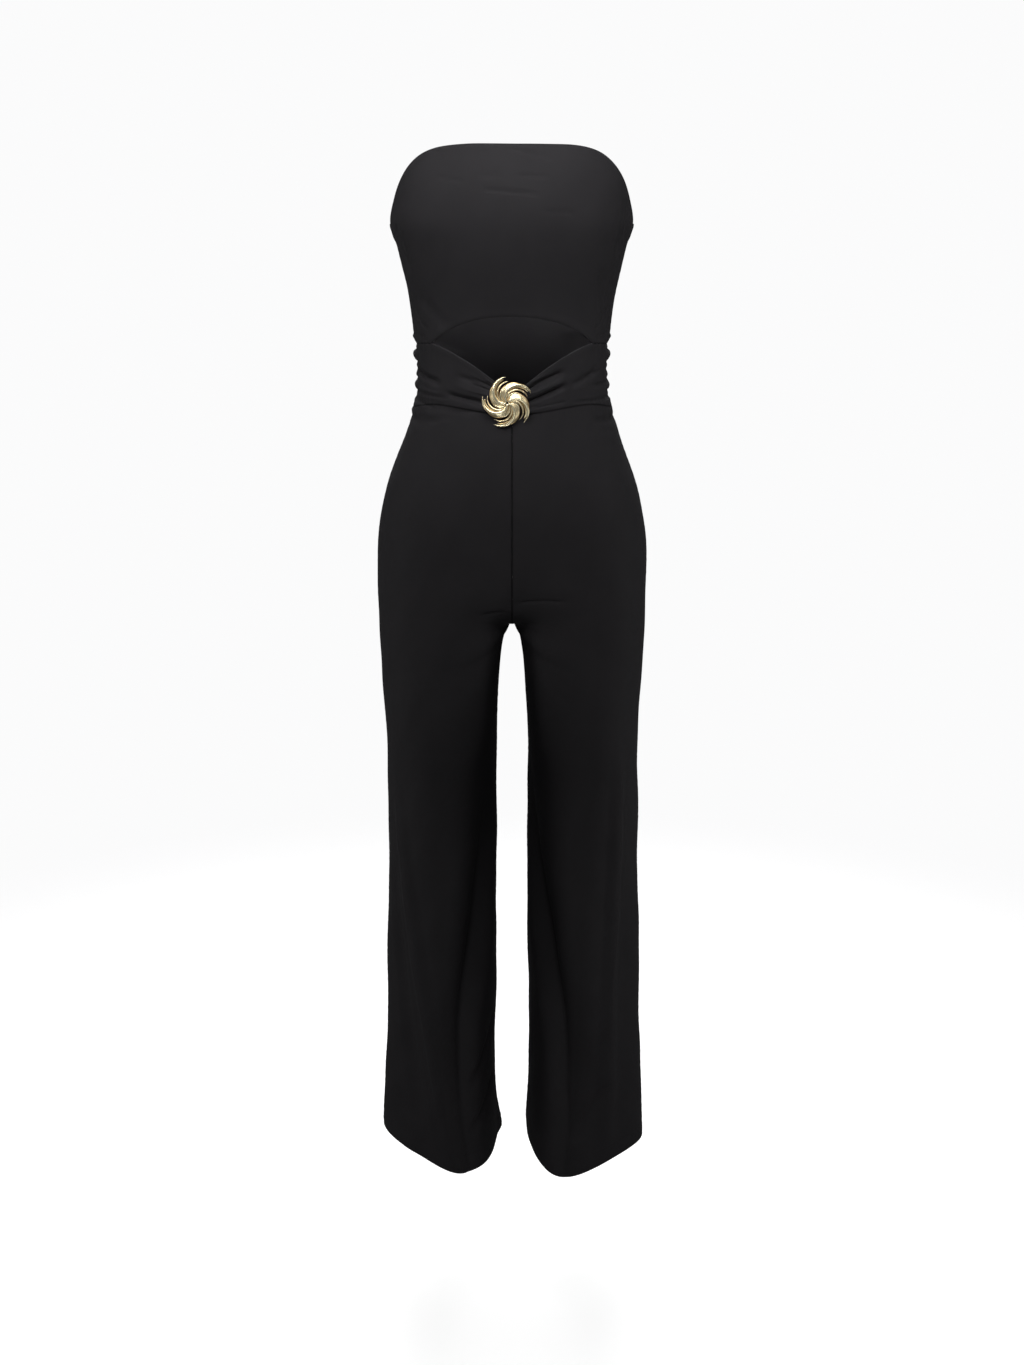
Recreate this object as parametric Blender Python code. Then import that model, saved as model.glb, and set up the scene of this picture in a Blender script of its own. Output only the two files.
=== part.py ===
# Strapless wide-leg jumpsuit in stretch jersey, held in the form it takes when worn, with a cast
# whirl brooch at the waist. Metres, +Z up, the front faces -Y and the wearer's left is at +X.
# The origin is the middle of the waist. Each cut piece is a thin wall between an outer skin, worked
# out from the section tables, and an inner skin one cloth thickness inside it.
#
# A place on the garment is (height, turn). Height is the level of a ring. Turn runs 0 to 1 round
# one half: 0 centre front or inseam, 0.5 side seam, 1 centre back or inseam again.

import math
from collections import namedtuple

import bmesh
import bpy
import numpy as np
from mathutils import Vector

cloth_wall = 0.0015
seam_gap = 0.0003

top_edge = 0.265
underarm = 0.176
edge_round, edge_fall = 5.2, 0.87
waist_seam_level = -0.0365
waist_seam_swing = 0.0045

corner_turn = 0.295
corner_height = 0.039
cutout_top = 0.0735
arch_curve = 2.5
vee_bottom = -0.021
vee_curve = 1.75
strip_end = 0.0345
band_pile = 0.0025

crotch_height = -0.308
crotch_depth = 0.002
rise_start = -0.225
crotch_row = -0.360
straight_leg_row = -0.480
arch_reach = 0.044
arch_power = 0.7
rise_square = 0.20
rise_settle = 0.42
crotch_swing = 0.92
crotch_fill = 0.94
fill_start, fill_end = -0.275, -0.53
crotch_round, round_at, round_reach = 0.13, -0.365, 0.045

brooch_span = 0.060
brooch_x = -0.0055
brooch_z = -0.026
first_leaf = math.radians(93)
leaf_count = 5
hub_radius = 0.0045
hub_top = 0.0078
plate_radius = 0.0150
plate_back = 0.0015
plate_front = 0.0030
boss_radius = 0.0090
seat_reach = 1.15
strand_steps = 5
strand_foot = 0.0020
keel = 0.0004

# How each leg's hem hangs: its level, how much lower the front is, and how much it tips up inwards.
Hem = namedtuple("Hem", "level front tilt")
hems = {"left": Hem(-1.0505, 0.009, 0.010), "right": Hem(-1.046, 0.0075, -0.0015)}

# Points of a trouser piece: across, down to the crotch's ring, and from there to the hem.
Grid = namedtuple("Grid", "across above below")
rise_crowding, leg_crowding = 1.3, 1.5
trouser_grid = {"front": Grid(21, 12, 19), "back": Grid(12, 12, 19)}

# One row for each barb of a leaf of the brooch: how far its tip lies ahead of the leaf's own tip
# and how far it whirls, in degrees; its reach as a share of the half span; half width, ridge and lift.
Barb = namedtuple("Barb", "ahead whirl reach width ridge lift")
barbs = [
    Barb(0, 105, 1.00, 0.0033, 0.0030, 0.0030),
    Barb(17, 100, 0.92, 0.0025, 0.0024, 0.0024),
    Barb(32, 95, 0.84, 0.0023, 0.0022, 0.0018),
    Barb(47, 88, 0.76, 0.0022, 0.0020, 0.0012),
    Barb(-5, 96, 0.78, 0.0021, 0.0020, 0.0014),
]

# One row for each level of the body: half width at the side seam, front and back depth, the side
# seam's own depth, and how square the ring is.
Body = namedtuple("Body", "height side front back seam square")
body_rows = [
    Body(0.270, 0.1450, -0.1010, 0.0990, 0.000, 0.05),
    Body(0.240, 0.1450, -0.1110, 0.1010, 0.000, 0.06),
    Body(0.205, 0.1450, -0.1175, 0.1030, 0.000, 0.07),
    Body(0.176, 0.1450, -0.1180, 0.1035, 0.000, 0.07),
    Body(0.150, 0.1380, -0.1140, 0.1015, 0.000, 0.06),
    Body(0.120, 0.1312, -0.1065, 0.0975, 0.000, 0.05),
    Body(0.090, 0.1250, -0.0990, 0.0920, 0.000, 0.04),
    Body(0.060, 0.1206, -0.0930, 0.0870, 0.000, 0.04),
    Body(0.030, 0.1184, -0.0893, 0.0842, 0.000, 0.04),
    Body(0.000, 0.1182, -0.0880, 0.0842, 0.001, 0.04),
    Body(-0.025, 0.1200, -0.0890, 0.0875, 0.002, 0.04),
    Body(-0.045, 0.1240, -0.0912, 0.0930, 0.003, 0.04),
    Body(-0.070, 0.1312, -0.0952, 0.1010, 0.004, 0.04),
    Body(-0.103, 0.1437, -0.0995, 0.1130, 0.005, 0.04),
    Body(-0.134, 0.1550, -0.1025, 0.1240, 0.006, 0.05),
    Body(-0.170, 0.1640, -0.1050, 0.1335, 0.007, 0.06),
    Body(-0.210, 0.1700, -0.1062, 0.1390, 0.008, 0.06),
    Body(-0.260, 0.1722, -0.1062, 0.1390, 0.008, 0.06),
    Body(-0.315, 0.1710, -0.1050, 0.1330, 0.007, 0.06),
    Body(-0.370, 0.1682, -0.1030, 0.1250, 0.006, 0.06),
    Body(-0.450, 0.1650, -0.1010, 0.1180, 0.005, 0.06),
]

# One row for each level of a leg: inner and outer side, front and back depth, the side seam's
# depth, how square the ring is, or pointed at its seams, and how far its front leans inwards.
Leg = namedtuple("Leg", "height inner outer front back seam square lean")
leg_rows = [
    Leg(-0.200, 0.0216, 0.1690, -0.1062, 0.1390, 0.008, 0.04, 0.000),
    Leg(-0.315, 0.0216, 0.1710, -0.1050, 0.1320, 0.007, 0.04, 0.000),
    Leg(-0.368, 0.0216, 0.1684, -0.1030, 0.1240, 0.006, 0.04, 0.000),
    Leg(-0.422, 0.0216, 0.1655, -0.1010, 0.1180, 0.006, 0.04, 0.000),
    Leg(-0.477, 0.0217, 0.1640, -0.0995, 0.1140, 0.005, 0.02, 0.000),
    Leg(-0.560, 0.0212, 0.1645, -0.0980, 0.1100, 0.005, -0.02, 0.001),
    Leg(-0.646, 0.0209, 0.1650, -0.0978, 0.1080, 0.005, -0.05, 0.003),
    Leg(-0.734, 0.0210, 0.1681, -0.0995, 0.1080, 0.005, -0.08, 0.008),
    Leg(-0.823, 0.0219, 0.1706, -0.1020, 0.1095, 0.005, -0.10, 0.014),
    Leg(-0.914, 0.0235, 0.1739, -0.1057, 0.1120, 0.005, -0.11, 0.021),
    Leg(-0.976, 0.0230, 0.1773, -0.1093, 0.1140, 0.005, -0.12, 0.026),
    Leg(-1.040, 0.0190, 0.1800, -0.1140, 0.1160, 0.005, -0.13, 0.031),
    Leg(-1.070, 0.0180, 0.1806, -0.1155, 0.1170, 0.005, -0.15, 0.033),
]


def along(rows, column, height):
    """The column's value at each height, on a smooth curve through the rows."""
    levels = np.array([row.height for row in rows])
    values = np.array([getattr(row, column) for row in rows])
    slopes = np.gradient(values, levels)
    place = np.clip(height, levels[-1], levels[0])
    first = np.clip(np.searchsorted(-levels, -place) - 1, 0, len(rows) - 2)
    span = levels[first + 1] - levels[first]
    t = (place - levels[first]) / span
    return (
        values[first] * (1 - t * t * (3 - 2 * t))
        + values[first + 1] * t * t * (3 - 2 * t)
        + span * slopes[first] * t * (1 - t) ** 2
        + span * slopes[first + 1] * t * t * (t - 1)
    )


def ease(start, end, value):
    """0 before start, 1 past end, and a smooth step between."""
    t = np.clip((value - start) / (end - start), 0, 1)
    return t * t * (3 - 2 * t)


def bump(away, width):
    """1 in the middle, falling softly to 0 at the half width."""
    return 0.5 + 0.5 * np.cos(math.pi * np.clip(away / width, -1, 1))


def body_ring(height, turn):
    """Flat ring of the body: x and y at this turn."""
    angle = math.pi * turn
    square = along(body_rows, "square", height) * np.sin(2 * angle)
    seam = along(body_rows, "seam", height)
    depth = np.where(
        np.cos(angle) > 0,
        seam - along(body_rows, "front", height),
        along(body_rows, "back", height) - seam,
    )
    x = along(body_rows, "side", height) * np.sin(angle + square)
    return x, seam - depth * np.cos(angle - square)


def leg_ring(height, turn):
    """Flat ring of one leg, from the inseam round the front to the side seam and the back."""
    angle = 2 * math.pi * turn
    inner = along(leg_rows, "inner", height)
    outer = along(leg_rows, "outer", height)
    seam = along(leg_rows, "seam", height)
    square = along(leg_rows, "square", height) * np.sin(2 * angle)
    depth = np.where(
        np.sin(angle) > 0,
        seam - along(leg_rows, "front", height),
        along(leg_rows, "back", height) - seam,
    )
    x = (inner + outer) / 2 - (outer - inner) / 2 * np.cos(angle - square)
    lean = along(leg_rows, "lean", height) * np.clip(np.sin(angle), 0, 1) ** 2
    return x - lean, seam - depth * np.sin(angle + square)


def outer_half(height, turn):
    """The ring where body and legs blend, true from turn 0.25 to 0.75."""
    parted = ease(rise_start, straight_leg_row, height)
    body_x, body_y = body_ring(height, turn)
    leg_x, leg_y = leg_ring(height, turn)
    return body_x + parted * (leg_x - body_x), body_y + parted * (leg_y - body_y)


def thigh_fill(height):
    """How much fuller a ring's inner corners are where the cloth spans the tops of the legs."""
    grown = ease(fill_start, crotch_row, height)
    return 1 + crotch_fill * grown * (1 - ease(crotch_row - 0.02, fill_end, height))


def inner_edge(height, front):
    """Centre seam down to the crotch and then the inseam: its points, and how a ring leaves it."""
    end = np.where(front, along(body_rows, "front", height), along(body_rows, "back", height))
    rise_end = np.where(
        front,
        along(body_rows, "front", rise_start),
        along(body_rows, "back", rise_start),
    )
    down = np.clip((rise_start - height) / (rise_start - crotch_row), 0, 1)
    bend = (down + rise_settle * down**2 * (1 - down)) * math.pi / 2
    reach = rise_end - crotch_depth
    drop = rise_start - crotch_height
    above = height > crotch_row
    square = rise_square * np.sin(2 * bend)
    seam_y = np.where(height > rise_start, end, crotch_depth + reach * np.cos(bend - square))
    seam_z = np.where(height > rise_start, height, rise_start - drop * np.sin(bend + square))

    joined = ease(crotch_row, straight_leg_row, height)
    leg_z = height + (crotch_height - crotch_row) * (1 - joined)
    below = np.maximum(crotch_height - leg_z, 0)
    opened = 1 - np.exp(-((below / arch_reach) ** arch_power))
    leg_x = along(leg_rows, "inner", height) * opened
    leg_y = crotch_depth + (along(leg_rows, "seam", height) - crotch_depth) * joined

    x = np.where(above, 0, leg_x)
    y = np.where(above, seam_y, leg_y)
    z = np.where(above, seam_z, leg_z)

    swing = np.where(
        above,
        crotch_swing * ease(rise_start, crotch_row, height),
        crotch_swing + (1 - crotch_swing) * ease(crotch_row, crotch_row - 0.045, height),
    )
    sign = np.where(front, -1.0, 1.0)
    leave_x = (1 - swing) * math.pi * along(body_rows, "side", height)
    rounder = 1 + crotch_round * bump(height - round_at, round_reach)
    leave_y = sign * swing * 2 * math.pi * np.abs(end - crotch_depth) * thigh_fill(height) * rounder
    steep = drop * np.cos(bend + square) / (np.abs(reach) * np.maximum(np.sin(bend - square), 0.05))
    arch = np.clip(below / 0.010, 0, 1)
    leave_z = np.where(above, np.abs(leave_y) * steep, -leave_x * arch)
    return (x, y, z), (leave_x, leave_y, leave_z)


def base_point(height, turn):
    """The smooth garment without folds, for turn 0 to 1 on the +X half."""
    height, turn = np.broadcast_arrays(np.asarray(height, float), np.asarray(turn, float))
    front = turn < 0.5
    from_edge = np.where(front, turn, 1 - turn)
    quarter = np.where(front, 0.25, 0.75)
    step = 1e-4
    x, y = outer_half(height, turn)
    x1, y1 = outer_half(height, quarter)
    inward = np.where(front, -step, step)
    x2, y2 = outer_half(height, quarter - inward)
    fill = thigh_fill(height)
    slope_x, slope_y = fill * (x2 - x1) / step, fill * (y2 - y1) / step
    (ix, iy, iz), (dx, dy, dz) = inner_edge(height, front)
    t = np.clip(from_edge / 0.25, 0, 1)
    start = 1 - t * t * (3 - 2 * t)
    leave = 0.25 * t * (1 - t) ** 2
    arrive = 0.25 * t * t * (t - 1)
    inside = from_edge < 0.25
    x = np.where(inside, ix * start + x1 * (1 - start) + dx * leave + slope_x * arrive, x)
    y = np.where(inside, iy * start + y1 * (1 - start) + dy * leave + slope_y * arrive, y)
    z = height + (iz - height) * start + dz * leave
    return np.stack([x, y, z], axis=-1)


def any_point(height, turn):
    """base_point carried a little past the centre seam or round the inseam."""
    height, turn = np.broadcast_arrays(np.asarray(height, float), np.asarray(turn, float))
    past = (turn < 0) | (turn > 1)
    mirrored = np.where(turn < 0, -turn, 2 - turn)
    wrapped = turn % 1.0
    closed = height < crotch_row
    inside = np.where(past, np.where(closed, wrapped, mirrored), turn)
    points = base_point(height, np.clip(inside, 0, 1))
    points[..., 0] *= np.where(past & ~closed, -1, 1)
    return points


def normals(height, turn):
    """Unit vectors out of the cloth."""
    along_turn = any_point(height, turn + 0.004) - any_point(height, turn - 0.004)
    along_height = any_point(height + 0.002, turn) - any_point(height - 0.002, turn)
    out = np.cross(along_turn, along_height)
    # the one point where all four trouser pieces meet faces straight down
    corner = (np.abs(height - crotch_row) < 1e-6) & (np.abs(turn - 0.5) > 0.499999)
    out = np.where(corner[..., None], np.array([0.0, 0.0, -1.0]), out)
    return out / np.linalg.norm(out, axis=-1, keepdims=True)


# One row for each fold that stands out from the smooth form: which half it is on, where it starts
# and ends, its half width and depth (a groove is negative), and how far its middle bows sideways.
Fold = namedtuple("Fold", "side height turn end_height end_turn width depth bow")
folds = [
    # soft pulls down the sides of the bodice
    Fold("left", 0.205, 0.350, 0.135, 0.350, 0.014, -0.0018, 0.0),
    Fold("left", 0.130, 0.270, 0.050, 0.385, 0.013, -0.0016, 0.0),
    Fold("right", 0.180, 0.385, 0.120, 0.350, 0.014, -0.0018, 0.0),
    Fold("right", 0.100, 0.335, 0.055, 0.190, 0.013, -0.0014, 0.0),
    # elastic gathers at the underarm
    Fold("both", 0.200, 0.530, 0.150, 0.522, 0.007, 0.0022, 0.0),
    Fold("both", 0.200, 0.575, 0.155, 0.570, 0.007, 0.0020, 0.0),
    Fold("both", 0.200, 0.625, 0.160, 0.615, 0.008, 0.0016, 0.0),
    # waistband folds that run into the brooch
    Fold("left", -0.020, 0.000, 0.012, 0.180, 0.006, -0.0030, 0.0),
    Fold("left", -0.033, 0.000, -0.006, 0.185, 0.006, -0.0034, 0.0),
    Fold("left", -0.026, 0.000, 0.002, 0.190, 0.007, 0.0022, 0.0),
    Fold("left", -0.010, 0.180, 0.010, 0.330, 0.009, -0.0016, 0.0),
    Fold("right", -0.020, 0.000, 0.006, 0.190, 0.006, -0.0026, 0.0),
    Fold("right", -0.034, 0.000, -0.016, 0.240, 0.006, -0.0032, 0.0),
    Fold("right", -0.027, 0.000, -0.006, 0.200, 0.007, 0.0022, 0.0),
    Fold("right", -0.008, 0.230, 0.006, 0.440, 0.008, -0.0022, 0.0),
    Fold("right", -0.031, 0.180, -0.028, 0.430, 0.006, -0.0018, 0.0),
    # ruching round the side seams
    Fold("both", 0.0350, 0.400, 0.0345, 0.600, 0.007, -0.0024, 0.0),
    Fold("both", 0.0220, 0.390, 0.0235, 0.620, 0.008, 0.0028, 0.0),
    Fold("both", 0.0040, 0.380, 0.0060, 0.610, 0.007, -0.0018, 0.0),
    Fold("both", -0.0130, 0.400, -0.0140, 0.620, 0.007, 0.0016, 0.0),
    Fold("both", -0.0280, 0.390, -0.0260, 0.600, 0.006, -0.0020, 0.0),
    Fold("both", -0.0580, 0.250, -0.0520, 0.560, 0.007, -0.0016, 0.0),
    Fold("right", -0.0440, 0.380, -0.0470, 0.600, 0.005, 0.0012, 0.0),
    # pulls beside the crotch
    Fold("left", -0.258, -0.020, -0.272, 0.170, 0.012, -0.0008, 0.0),
    Fold("right", -0.276, -0.010, -0.290, 0.110, 0.012, -0.0008, 0.0),
    # wearer's right leg, front
    Fold("right", -0.850, 0.010, -0.945, 0.190, 0.016, -0.0040, 0.0),
    Fold("right", -0.940, 0.030, -1.005, 0.200, 0.014, -0.0035, 0.0),
    Fold("right", -0.480, 0.405, -1.070, 0.270, 0.020, 0.0050, 0.0),
    Fold("right", -0.600, 0.430, -1.060, 0.345, 0.018, -0.0040, 0.0),
    # wearer's left leg, front
    Fold("left", -0.430, 0.350, -1.100, 0.368, 0.020, 0.0050, 0.0),
    Fold("left", -0.930, 0.370, -1.020, 0.280, 0.016, -0.0035, 0.0),
    # the hem's inner corner kicks inwards, and the wearer's left side hangs a little fuller
    Fold("right", -1.000, 0.000, -1.130, 0.000, 0.026, 0.0060, 0.0),
    Fold("left", -0.420, 0.500, -1.250, 0.500, 0.060, 0.0035, 0.0),
    # backs of the legs
    Fold("right", -0.330, 0.790, -1.110, 0.735, 0.034, 0.0050, 0.0),
    Fold("right", -0.430, 0.880, -0.990, 0.835, 0.030, -0.0050, 0.0),
    Fold("right", -0.560, 0.630, -1.100, 0.600, 0.028, 0.0045, 0.0),
    Fold("left", -0.340, 0.770, -1.110, 0.760, 0.036, 0.0052, 0.0),
    Fold("left", -0.470, 0.870, -1.040, 0.860, 0.028, -0.0048, 0.0),
    Fold("left", -0.520, 0.645, -1.100, 0.615, 0.030, 0.0042, 0.0),
    Fold("both", -0.300, 0.770, -0.345, 0.960, 0.016, -0.0030, 0.0),
]
fold_fade = 0.22

# One row for each level of the long break down the front of each leg: the turn of its line, its
# depth, and how far inside the line the cloth comes back out.
Break = namedtuple("Break", "height turn depth inner")
breaks = {
    "right": [
        Break(-0.430, 0.085, 0.0000, 0.050),
        Break(-0.515, 0.090, 0.0030, 0.050),
        Break(-0.570, 0.098, 0.0070, 0.055),
        Break(-0.624, 0.108, 0.0110, 0.055),
        Break(-0.679, 0.124, 0.0150, 0.055),
        Break(-0.733, 0.143, 0.0175, 0.055),
        Break(-0.786, 0.172, 0.0175, 0.055),
        Break(-0.838, 0.205, 0.0155, 0.050),
        Break(-0.908, 0.223, 0.0125, 0.050),
        Break(-0.951, 0.226, 0.0100, 0.050),
        Break(-1.080, 0.215, 0.0060, 0.050),
    ],
    "left": [
        Break(-0.430, 0.045, 0.0000, 0.040),
        Break(-0.500, 0.045, 0.0025, 0.040),
        Break(-0.552, 0.052, 0.0060, 0.040),
        Break(-0.628, 0.082, 0.0110, 0.045),
        Break(-0.683, 0.105, 0.0155, 0.050),
        Break(-0.735, 0.132, 0.0175, 0.055),
        Break(-0.786, 0.164, 0.0175, 0.055),
        Break(-0.838, 0.202, 0.0155, 0.055),
        Break(-0.908, 0.240, 0.0120, 0.055),
        Break(-0.951, 0.258, 0.0100, 0.055),
        Break(-1.080, 0.270, 0.0060, 0.055),
    ],
}
break_reach, break_power = 0.080, 2.2


def ring_length(height):
    """Rough length of one half's ring, to turn a fraction of it into metres."""
    return 0.33 + 0.25 * ease(0.0, -0.40, height)


def folds_on(side, height, turn):
    """The folds of one half, at turns that may run past its ends."""
    moved = np.zeros(np.broadcast(height, turn).shape)
    for fold in folds:
        if fold.side not in (side, "both"):
            continue
        girth = ring_length((fold.height + fold.end_height) / 2)
        across = (fold.end_turn - fold.turn) * girth
        down = fold.end_height - fold.height
        length = math.hypot(across, down)
        off_turn = (turn - fold.turn) * girth
        off_height = height - fold.height
        way = (off_turn * across + off_height * down) / length**2
        beside = (off_turn * down - off_height * across) / length
        beside = beside - fold.bow * 4 * way * (1 - way)
        fade = ease(0, fold_fade, way) * (1 - ease(1 - fold_fade, 1, way))
        moved = moved + fold.depth * bump(beside, fold.width) * fade
    return moved


def break_on(side, height, turn):
    """How far the long break of a leg moves the cloth: sharp at its line, softer on both sides."""
    beside = (turn - along(breaks[side], "turn", height)) * ring_length(-0.5)
    outer = np.clip(1 - beside / break_reach, 0, 1) ** break_power
    inner = bump(beside, along(breaks[side], "inner", height))
    return -along(breaks[side], "depth", height) * np.where(beside > 0, outer, inner)


def relief(side, height, turn):
    """How far the folds move the cloth out, with those that cross a centre seam or an inseam."""
    other = "right" if side == "left" else "left"
    crossing = np.where(
        height > crotch_row,
        folds_on(other, height, -turn) + folds_on(other, height, 2 - turn),
        folds_on(side, height, turn - 1) + folds_on(side, height, turn + 1),
    )
    return folds_on(side, height, turn) + crossing + break_on(side, height, turn)


def half_skins(side, height, turn, raised):
    out = normals(height, turn)
    outer = any_point(height, turn) + out * (relief(side, height, turn) + raised)[..., None]
    skins = np.stack([outer, outer - out * cloth_wall])
    if side == "right":
        skins[..., 0] *= -1
    return skins


def skins_of(height, turn, raised=0.0):
    """Outer and inner skin of a wall. Turns below 0 and above 1 lie on the wearer's right half."""
    height, turn, raised = np.broadcast_arrays(height, turn, raised)
    right = (turn < 0) | (turn > 1)
    own = np.where(turn < 0, -turn, np.where(turn > 1, 2 - turn, turn))
    left_skins = half_skins("left", height, own, raised)
    right_skins = half_skins("right", height, own, raised)
    return np.where(right[None, ..., None], right_skins, left_skins)


def waist_seam(turn):
    """Level of the seam between the waist and the trousers."""
    own = np.minimum(np.abs(turn), 0.5)
    return waist_seam_level - waist_seam_swing * np.cos(4 * math.pi * own)


def top_line(turn):
    """Level of the top edge of the front: flat, then curving down to the underarm."""
    across = np.sin(math.pi * np.abs(turn))
    return underarm + (top_edge - underarm) * (1 - across**edge_round) ** edge_fall


def cutout_share(turn):
    """0 at the centre front, 1 at the corners of the cut-out."""
    return np.sin(math.pi * np.minimum(np.abs(turn), corner_turn)) / math.sin(math.pi * corner_turn)


def strip_line(turn):
    """Level of the short seam from a corner of the cut-out to the side seam."""
    return corner_height + (strip_end - corner_height) * ease(corner_turn, 0.5, np.abs(turn))


def arch_line(turn):
    """Lower edge of the bodice front, over the cut-out and along the strip seam."""
    arch = cutout_top - (cutout_top - corner_height) * cutout_share(turn) ** arch_curve
    return np.where(np.abs(turn) < corner_turn, arch, strip_line(turn))


def vee_line(turn):
    """Upper edge of the waistbands, falling to the middle under the brooch."""
    fall = 1 - np.abs(turn) / corner_turn
    vee = corner_height - (corner_height - vee_bottom) * np.maximum(fall, 0) ** vee_curve
    return np.where(np.abs(turn) < corner_turn, vee, strip_line(turn))


def hem_line(turn, side):
    """Level of the hem round one leg, a little uneven as it hangs."""
    angle = 2 * math.pi * turn
    hem = hems[side]
    return hem.level - hem.front * np.maximum(np.sin(angle), 0) ** 2 + hem.tilt * np.cos(angle)


def close_up(points, along_rows, last):
    """Draws one edge of the skins back by half a seam gap."""
    edge, inside = (-1, -2) if last else (0, 1)
    if along_rows:
        step = points[:, inside, :] - points[:, edge, :]
        step /= np.linalg.norm(step, axis=-1, keepdims=True)
        points[:, edge, :] += step * seam_gap / 2
    else:
        step = points[:, :, inside] - points[:, :, edge]
        step /= np.linalg.norm(step, axis=-1, keepdims=True)
        points[:, :, edge] += step * seam_gap / 2


def finish(name, colour, roughness, metallic):
    material = bpy.data.materials.new(name)
    material.use_nodes = True
    shader = material.node_tree.nodes["Principled BSDF"]
    shader.inputs["Base Color"].default_value = (*colour, 1.0)
    shader.inputs["Roughness"].default_value = roughness
    shader.inputs["Metallic"].default_value = metallic
    return material


def place(name, bm, material):
    mesh = bpy.data.meshes.new(name)
    bmesh.ops.recalc_face_normals(bm, faces=bm.faces)
    bm.to_mesh(mesh)
    bm.free()
    mesh.shade_smooth()
    mesh.set_sharp_from_angle(angle=math.radians(45))
    mesh.materials.append(material)
    piece = bpy.data.objects.new(name, mesh)
    bpy.context.scene.collection.objects.link(piece)
    return piece


def panel(name, skins, seams, jersey):
    """A cut piece: its two skins joined by a rim, drawn back a little wherever it is sewn on."""
    if "top" in seams:
        close_up(skins, True, False)
    if "bottom" in seams:
        close_up(skins, True, True)
    if "start" in seams:
        close_up(skins, False, False)
    if "end" in seams:
        close_up(skins, False, True)
    _, rows, columns, _ = skins.shape
    bm = bmesh.new()
    outer, inner = (
        [[bm.verts.new(skins[skin, i, j]) for j in range(columns)] for i in range(rows)]
        for skin in (0, 1)
    )
    for i in range(rows - 1):
        for j in range(columns - 1):
            bm.faces.new([outer[i][j], outer[i][j + 1], outer[i + 1][j + 1], outer[i + 1][j]])
            bm.faces.new([inner[i][j], inner[i + 1][j], inner[i + 1][j + 1], inner[i][j + 1]])
    border = [(0, j) for j in range(columns)]
    border += [(i, columns - 1) for i in range(1, rows)]
    border += [(rows - 1, j) for j in range(columns - 2, -1, -1)]
    border += [(i, 0) for i in range(rows - 2, 0, -1)]
    for (i, j), (k, m) in zip(border, border[1:] + border[:1]):
        bm.faces.new([outer[k][m], outer[i][j], inner[i][j], inner[k][m]])
    return place(name, bm, jersey)


def between(first, last, share):
    """Rows of levels from one line to another."""
    return first + (last - first) * share[:, None]


def crowded(start, end, count, power):
    """Steps from start to end, closer together at the start."""
    return start + (end - start) * np.linspace(0, 1, count) ** power


def bodice_front(jersey):
    middle = np.linspace(0, corner_turn, 10)
    strip = np.linspace(corner_turn, 0.5, 6)[1:]
    half = np.concatenate([middle, strip])
    turn = np.concatenate([-half[:0:-1], half])
    height = between(top_line(turn), arch_line(turn), np.linspace(0, 1, 16))
    panel("bodice_front", skins_of(height, turn), ("bottom", "start", "end"), jersey)


def bodice_back(jersey):
    half = np.concatenate([crowded(0.5, 0.66, 9, 1.0), np.linspace(0.66, 1.0, 6)[1:]])
    turn = np.concatenate([half, 2 - half[-2::-1]])
    height = between(np.full(turn.shape, underarm), waist_seam(0.5), np.linspace(0, 1, 14))
    panel("bodice_back", skins_of(height, turn), ("bottom", "start", "end"), jersey)


def band_grid():
    """Turns and levels of one waistband's points."""
    turn = np.concatenate([np.linspace(0, corner_turn, 16), np.linspace(corner_turn, 0.5, 10)[1:]])
    return turn, between(vee_line(turn), waist_seam(turn), np.linspace(0, 1, 13))


def waistband_raised(turn):
    """How far the gathered cloth piles up towards the brooch."""
    return band_pile * (1 - ease(0.0, 0.12, turn))


def waistband_front(side, jersey):
    turn, height = band_grid()
    skins = half_skins(side, height, turn + 0 * height, waistband_raised(turn))
    # the edge over the cut-out is free, and only the strip beside it is sewn to the bodice
    sewn = turn > corner_turn - 1e-6
    skins[:, 0, sewn, 2] -= seam_gap / 2
    panel("waistband_front_" + side, skins, ("bottom", "start", "end"), jersey)


def trouser(face, side, jersey):
    grid = trouser_grid[face]
    first = 0.0 if face == "front" else 0.5
    turn = np.linspace(first, first + 0.5, grid.across)
    above = 1 - crowded(0, 1, grid.above, rise_crowding)[::-1]
    rise = between(waist_seam(turn), crotch_row, above)
    leg = between(crotch_row, hem_line(turn, side), crowded(0, 1, grid.below, leg_crowding))
    height = np.concatenate([rise, leg[1:]])
    skins = half_skins(side, height, turn + 0 * height, 0.0)
    panel(f"trouser_{face}_{side}", skins, ("top", "start", "end"), jersey)


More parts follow.
